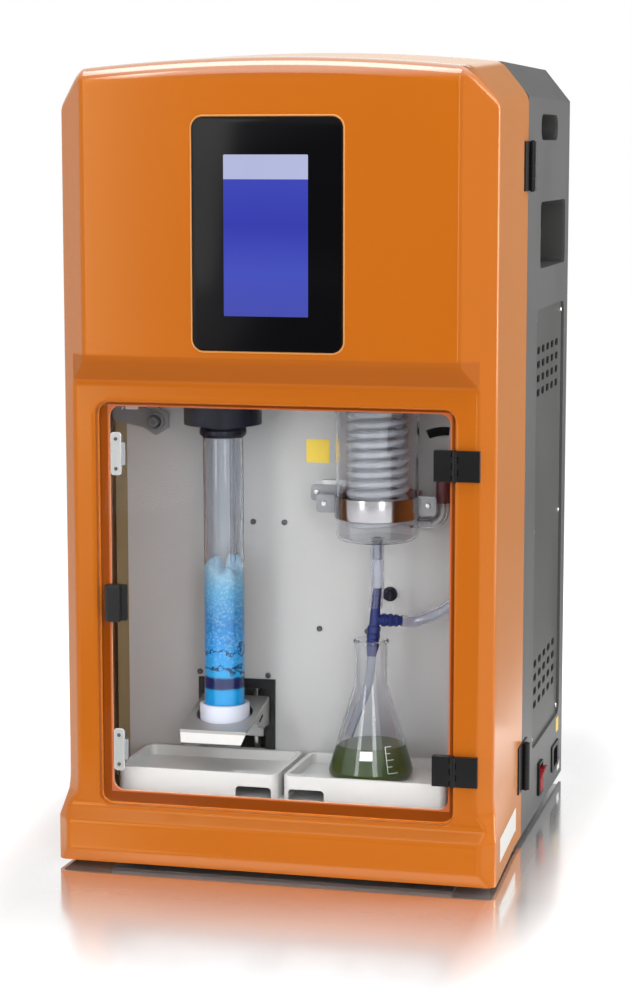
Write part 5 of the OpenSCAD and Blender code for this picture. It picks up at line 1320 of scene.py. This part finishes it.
# %% Screw heads
def screw_heads(name, body, axis, places, r=3.0, finish=screw_steel):
    """Pan heads at places, facing along an axis."""
    line = [(0.0, r), (0.35 * r, r), (0.5 * r, 0.82 * r), (0.58 * r, 0.5 * r), (0.56 * r, 0.42 * r),
            (0.3 * r, 0.3 * r), (0.28 * r, 0.02)]
    out = [np.asarray(axis, float) * d for d, _ in line]
    heads = [swept("head", [np.asarray(p, float) + step for step in out], [w for _, w in line], 16)
             for p in places]
    return dressed(joined(name, heads), body, finish, "polished_steel")


screw_heads("wall_screws", "chassis", (0, -1, 0), [(x, -40, z) for x, z in (
    (-60, 335.5), (-27, 336), (9.5, 226.5), (-118, 176), (-45, 175), (60, 226))], 3.0, screw_dark)
for name, side in (("panel_screws", 1), ("panel_screws_left", -1)):
    places = [(side * 217, s, z) for s in (78, 254) for z in (92, 318, 545)]
    screw_heads(name, "chassis", (side, 0, 0), places, 3.2)
CATCH_Z = (120, 422)
catch_places = [(-163.5, -180, z) for c in CATCH_Z for z in (c - 15, c + 15)]
screw_heads("catch_screws", "door", (0, -1, 0), catch_places, 1.9, screw_dark)
rear_places = [(x, 285, z) for x in (-185, 0, 185) for z in (40, 400, 745)]
screw_heads("rear_screws", "chassis", (0, 1, 0), rear_places, 3.2)
print("screws set")

# %% [markdown]
# ## Blank plates
# The unit carries a few thin plates: a yellow one on the wall, two by the power inlet and a white
# one low on the cover's side. Each is a very thin slab with a slight edge. The one on the cover
# follows its flare, so its outline is drawn from the same values as the cover's ring.

# %% Blank plates
plate_yellow = coated("yellow_plate", (0.78, 0.55, 0.03), 0.38, 0.06, 700.0, 1e-5)
plate_white = coated("white_plate", (0.76, 0.75, 0.72), 0.40, 0.05, 700.0, 1e-5)


def plate(name, body, finish, outline, axis, low, high):
    """A thin plate on a surface."""
    return dressed(slab(name, outline, axis, low, high, 0.12, 1), body, finish, "white_polymer")


plate("wall_plate", "chassis", plate_yellow, box_outline(-3.5, 399, 20.7, 423, 1.2, 4), 1, -40.4, -39.9)
plate("inlet_plate", "chassis", plate_yellow, box_outline(243, 62, 261, 78, 1, 3), 0, 219.9, 220.3)
plate("inlet_tag", "chassis", plate_white, box_outline(256, 14, 272, 24, 1, 3), 0, 219.9, 220.3)
PROUD, PLATE_DEEP, FLARE_PER_MM = 0.15, 0.6, FLARE / (BASE_CREASE - FLARE_AT)
flank = [(HALF + PROUD + FLARE_PER_MM * max(-s - FLARE_AT, 0), s) for s in np.linspace(-35, -158, 12)]
flank += [(x - PLATE_DEEP, s) for x, s in flank[::-1]]
plate("flank_plate", "cover", plate_white, flank, 2, 22.0, 46.0)
print("plates laid")

# %% [markdown]
# ## Small fittings
# A slot and a screw on the lifter's cheek, a rubber pad under the clamp, the latch's stepped boss
# and the brackets behind the door's catches are too small to matter in the CAD model, yet each
# shows in a close view. They are swept or cut with the same makers as the large pieces.

# %% Fittings on the lifter, the clamp and the latch
CHEEK_X = -42
# painted shade: the slot is a dark rod laid on the cheek, standing for the shade inside it
slot_shade_paint = coated("painted_slot_shade", (0.012, 0.012, 0.012), 0.6, 0.2, 800.0, 1e-5)
slot_run = [(CHEEK_X + 0.05, s, z) for s, z in ((-74.3, 139.9), (-79.7, 137.8), (-85.1, 135.6))]
dressed(swept("cheek_slot", slot_run, 1.1, 10), "lifter", slot_shade_paint, "polished_steel")
screw_heads("cheek_screw", "lifter", (1, 0, 0), [(CHEEK_X, -91.5, 132.6)], 2.2)
pad = slab("clamp_pad", [(106, 371), (107.8, 381), (122.9, 377.8), (122.5, 371)], 1, -72.0, -67.0, 0.8, 2)
dressed(pad, "chassis", rubber_maroon, "rubber_maroon")
boss = [(0.0, 9.8), (5.0, 9.4), (5.8, 8.8), (5.8, 7.6), (5.2, 7.2), (5.2, 5.2), (11.0, 5.0), (11.8, 4.2),
        (11.8, 2.2), (10.6, 2.0), (10.6, 0.02)]
hub = swept("latch_boss", [(-159, -54 - d, 439) for d, _ in boss], [r for _, r in boss], 28, sharp=30)
dressed(hub, "latch", cast_grey, "polished_steel")
plate("latch_tag", "latch", plate_white, box_outline(-192.9, 449.6, -179, 454.4, 0.8, 3), 1, -49.5, -48.9)
screw_heads("latch_screw", "latch", (0, -1, 0), [(-197.2, -49, 451.3)], 2.2)
brackets = [slab("bracket", box_outline(-159.5, z - 11, -153.6, z + 11.5, 0.8, 3), 1, -179.9, -178.4, 0.3, 1)
            for z in CATCH_Z]
dressed(joined("catch_brackets", brackets), "door", ear_grey, "polished_steel")
ear_places = [(17.5, -82, 375.5), (27.6, -92, 365.1), (134.3, -92, 366.5)]
screw_heads("ear_screws", "chassis", (0, -1, 0), ear_places, 2.8)
print("small fittings set")

# %% [markdown]
# ## The floor
# The photograph shows the unit on a white gloss sweep, and its base is mirrored just below it. A
# mirror floor would show the whole unit. Here the floor reflects like metal beside the base only
# and fades with the distance from it to plain white, so no line shows where it ends.

# %% Floor
FLOOR_HALF_W, FLOOR_HALF_D, FLOOR_MID, FADE_ASIDE, FADE_AHEAD = 0.22, 0.246, 0.008, 0.12, 0.43
MIRROR, FLOOR_GLOW = 0.90, (0.78, 0.78, 0.78)
RAYS = ("Is Camera Ray", "Is Glossy Ray", "Is Transmission Ray")
floor_finish = Finish("white_gloss_floor")
where = floor_finish.place()
speck = floor_finish.noise(where, 14.0, 2.0)
aside = floor_finish.along(where, "X").size() - FLOOR_HALF_W
ahead = (floor_finish.along(where, "Y") + FLOOR_MID).size() - FLOOR_HALF_D
far = 1.0 - (1.0 - (aside / FADE_ASIDE).share()) * (1.0 - (ahead / FADE_AHEAD).share())
to_eye, mirrored, through_glass = (floor_finish.add("LightPath", out=kind) for kind in RAYS)
seen = (to_eye + mirrored + through_glass).upto(1.0)
glow = floor_finish.mixed(seen * far * far, (0.0, 0.0, 0.0), FLOOR_GLOW)
floor_finish.surface({"Base Color": floor_finish.mixed(speck, (0.93, 0.93, 0.93), (0.95, 0.95, 0.95)),
                      "Roughness": 0.05 + far * 0.23 + speck * 0.03, "Metallic": MIRROR - far * MIRROR,
                      "Specular IOR Level": 0.0, "Emission Color": glow, "Emission Strength": 1.0})
floor = slab("studio_floor", box_outline(-8000, -7000, 8000, 10000), 2, -2.0, -0.5, 0)
floor.data.materials.append(floor_finish.material)
print("floor", tuple(round(v, 2) for v in floor.dimensions))

# %% [markdown]
# ## The backdrop
# The sweep behind the unit is pure white. Lit that brightly it would flood the forms with flat
# light, so the world is white to the camera, in reflections and through glass, and much dimmer as
# a source of light. The kind of ray picks the strength.

# %% Backdrop light
DIM, BRIGHT = 0.26, 1.0
world = bpy.data.worlds.new("studio")
bpy.context.scene.world = world
world.use_nodes = True
tree = world.node_tree
rays = tree.nodes.new("ShaderNodeLightPath")
seen = rays.outputs[RAYS[0]]
for kind in RAYS[1:]:
    both = tree.nodes.new("ShaderNodeMath")
    both.operation, both.use_clamp = "ADD", True
    tree.links.new(seen, both.inputs[0])
    tree.links.new(rays.outputs[kind], both.inputs[1])
    seen = both.outputs[0]
level = tree.nodes.new("ShaderNodeMapRange")
level.inputs["To Min"].default_value, level.inputs["To Max"].default_value = DIM, BRIGHT
tree.links.new(seen, level.inputs["Value"])
tree.links.new(level.outputs[0], tree.nodes["Background"].inputs["Strength"])
tree.nodes["Background"].inputs["Color"].default_value = (1, 1, 1, 1)
print("backdrop lit")

# %% [markdown]
# ## The lamps
# Two tall strips in front draw the long soft lights on the cover, a wide box on the right lights
# the housing, and a bank overhead lights the top. Area lamps have the size of real soft boxes,
# and size is what sets how soft a shadow is. The camera doesn't see them.

# %% Lamps
def soft_box(name, at, towards, width, height, watts):
    """A large soft lamp that looks at a place."""
    data = bpy.data.lights.new(name, "AREA")
    data.shape, data.size, data.size_y, data.energy = "RECTANGLE", width, height, watts
    lamp = bpy.data.objects.new(name, data)
    bpy.context.collection.objects.link(lamp)
    lamp.location = at
    lamp.rotation_euler = (Vector(towards) - Vector(at)).to_track_quat("-Z", "Y").to_euler()
    lamp.visible_camera = False
    return lamp


MIDDLE = (0.0, -0.1, 0.45)
soft_box("strip_front", (1.14, -2.55, 1.0), MIDDLE, 0.6, 1.8, 17.0)
soft_box("strip_left", (-1.14, -2.4, 0.9), MIDDLE, 0.5, 1.6, 13.0)
soft_box("side_right", (2.3, 0.9, 1.0), (0.2, 0.0, 0.4), 1.0, 1.6, 44.0)
soft_box("top_bank", (0.0, -0.75, 2.1), (0.0, -0.3, 0.7), 1.8, 1.2, 17.0)

# %% [markdown]
# ## Black flags
# In a white room a gloss surface mirrors white everywhere and its colour washes out. So a
# photographer hangs black cloth where the reflections should be deep: behind on the right, behind
# the camera, and low before and beside the unit. Here they show in reflections alone.

# %% Black flags
FLAG_THICK = 4
flag_finish = Finish("black_flag_cloth")
weave = flag_finish.noise(flag_finish.place(), 300.0, 2.0)
cloth = flag_finish.mixed(weave, (0.015, 0.015, 0.015), (0.03, 0.03, 0.03))
flag_finish.surface({"Base Color": cloth, "Roughness": 0.9})
for name, outline, axis, level in (("flag_behind", box_outline(150, 0, 1250, 2200), 1, 1989),
                                   ("flag_before", box_outline(-2600, 60, 2600, 1000), 1, -3300),
                                   ("flag_below", box_outline(-600, -3200, 2600, -560), 2, 4),
                                   ("flag_beside", box_outline(330, 500, 1300, 2000), 2, 4)):
    flag = slab(name, outline, axis, level, level + FLAG_THICK, 0)
    flag.data.materials.append(flag_finish.material)
    flag.visible_camera = flag.visible_diffuse = flag.visible_shadow = flag.visible_transmission = False
    print(name, tuple(round(v, 2) for v in flag.dimensions))

# %% [markdown]
# ## The camera
# The camera stands where the photographer's did: in front, a little to the right, slightly
# above the middle, with a long lens. Its place and turn were found by matching corners of the
# unit with the photograph. The plain view transform keeps the colours as they are set.

# %% Camera
lens = bpy.data.cameras.new("photo_camera")
lens.lens, lens.sensor_width = 90.23, 36.0
lens.clip_end = 50.0
camera = bpy.data.objects.new("photo_camera", lens)
bpy.context.collection.objects.link(camera)
camera.location = (0.6259, -2.5927, 0.7230)
camera.rotation_euler = (math.radians(82.033), math.radians(0.015), math.radians(13.87))
bpy.context.scene.camera = camera
bpy.context.scene.view_settings.view_transform = "Standard"
print("camera at", tuple(camera.location))

# %% [markdown]
# ## Last update
# The view layer is updated once more, so that every piece stands where it was put.

# %% Last update
bpy.context.view_layer.update()
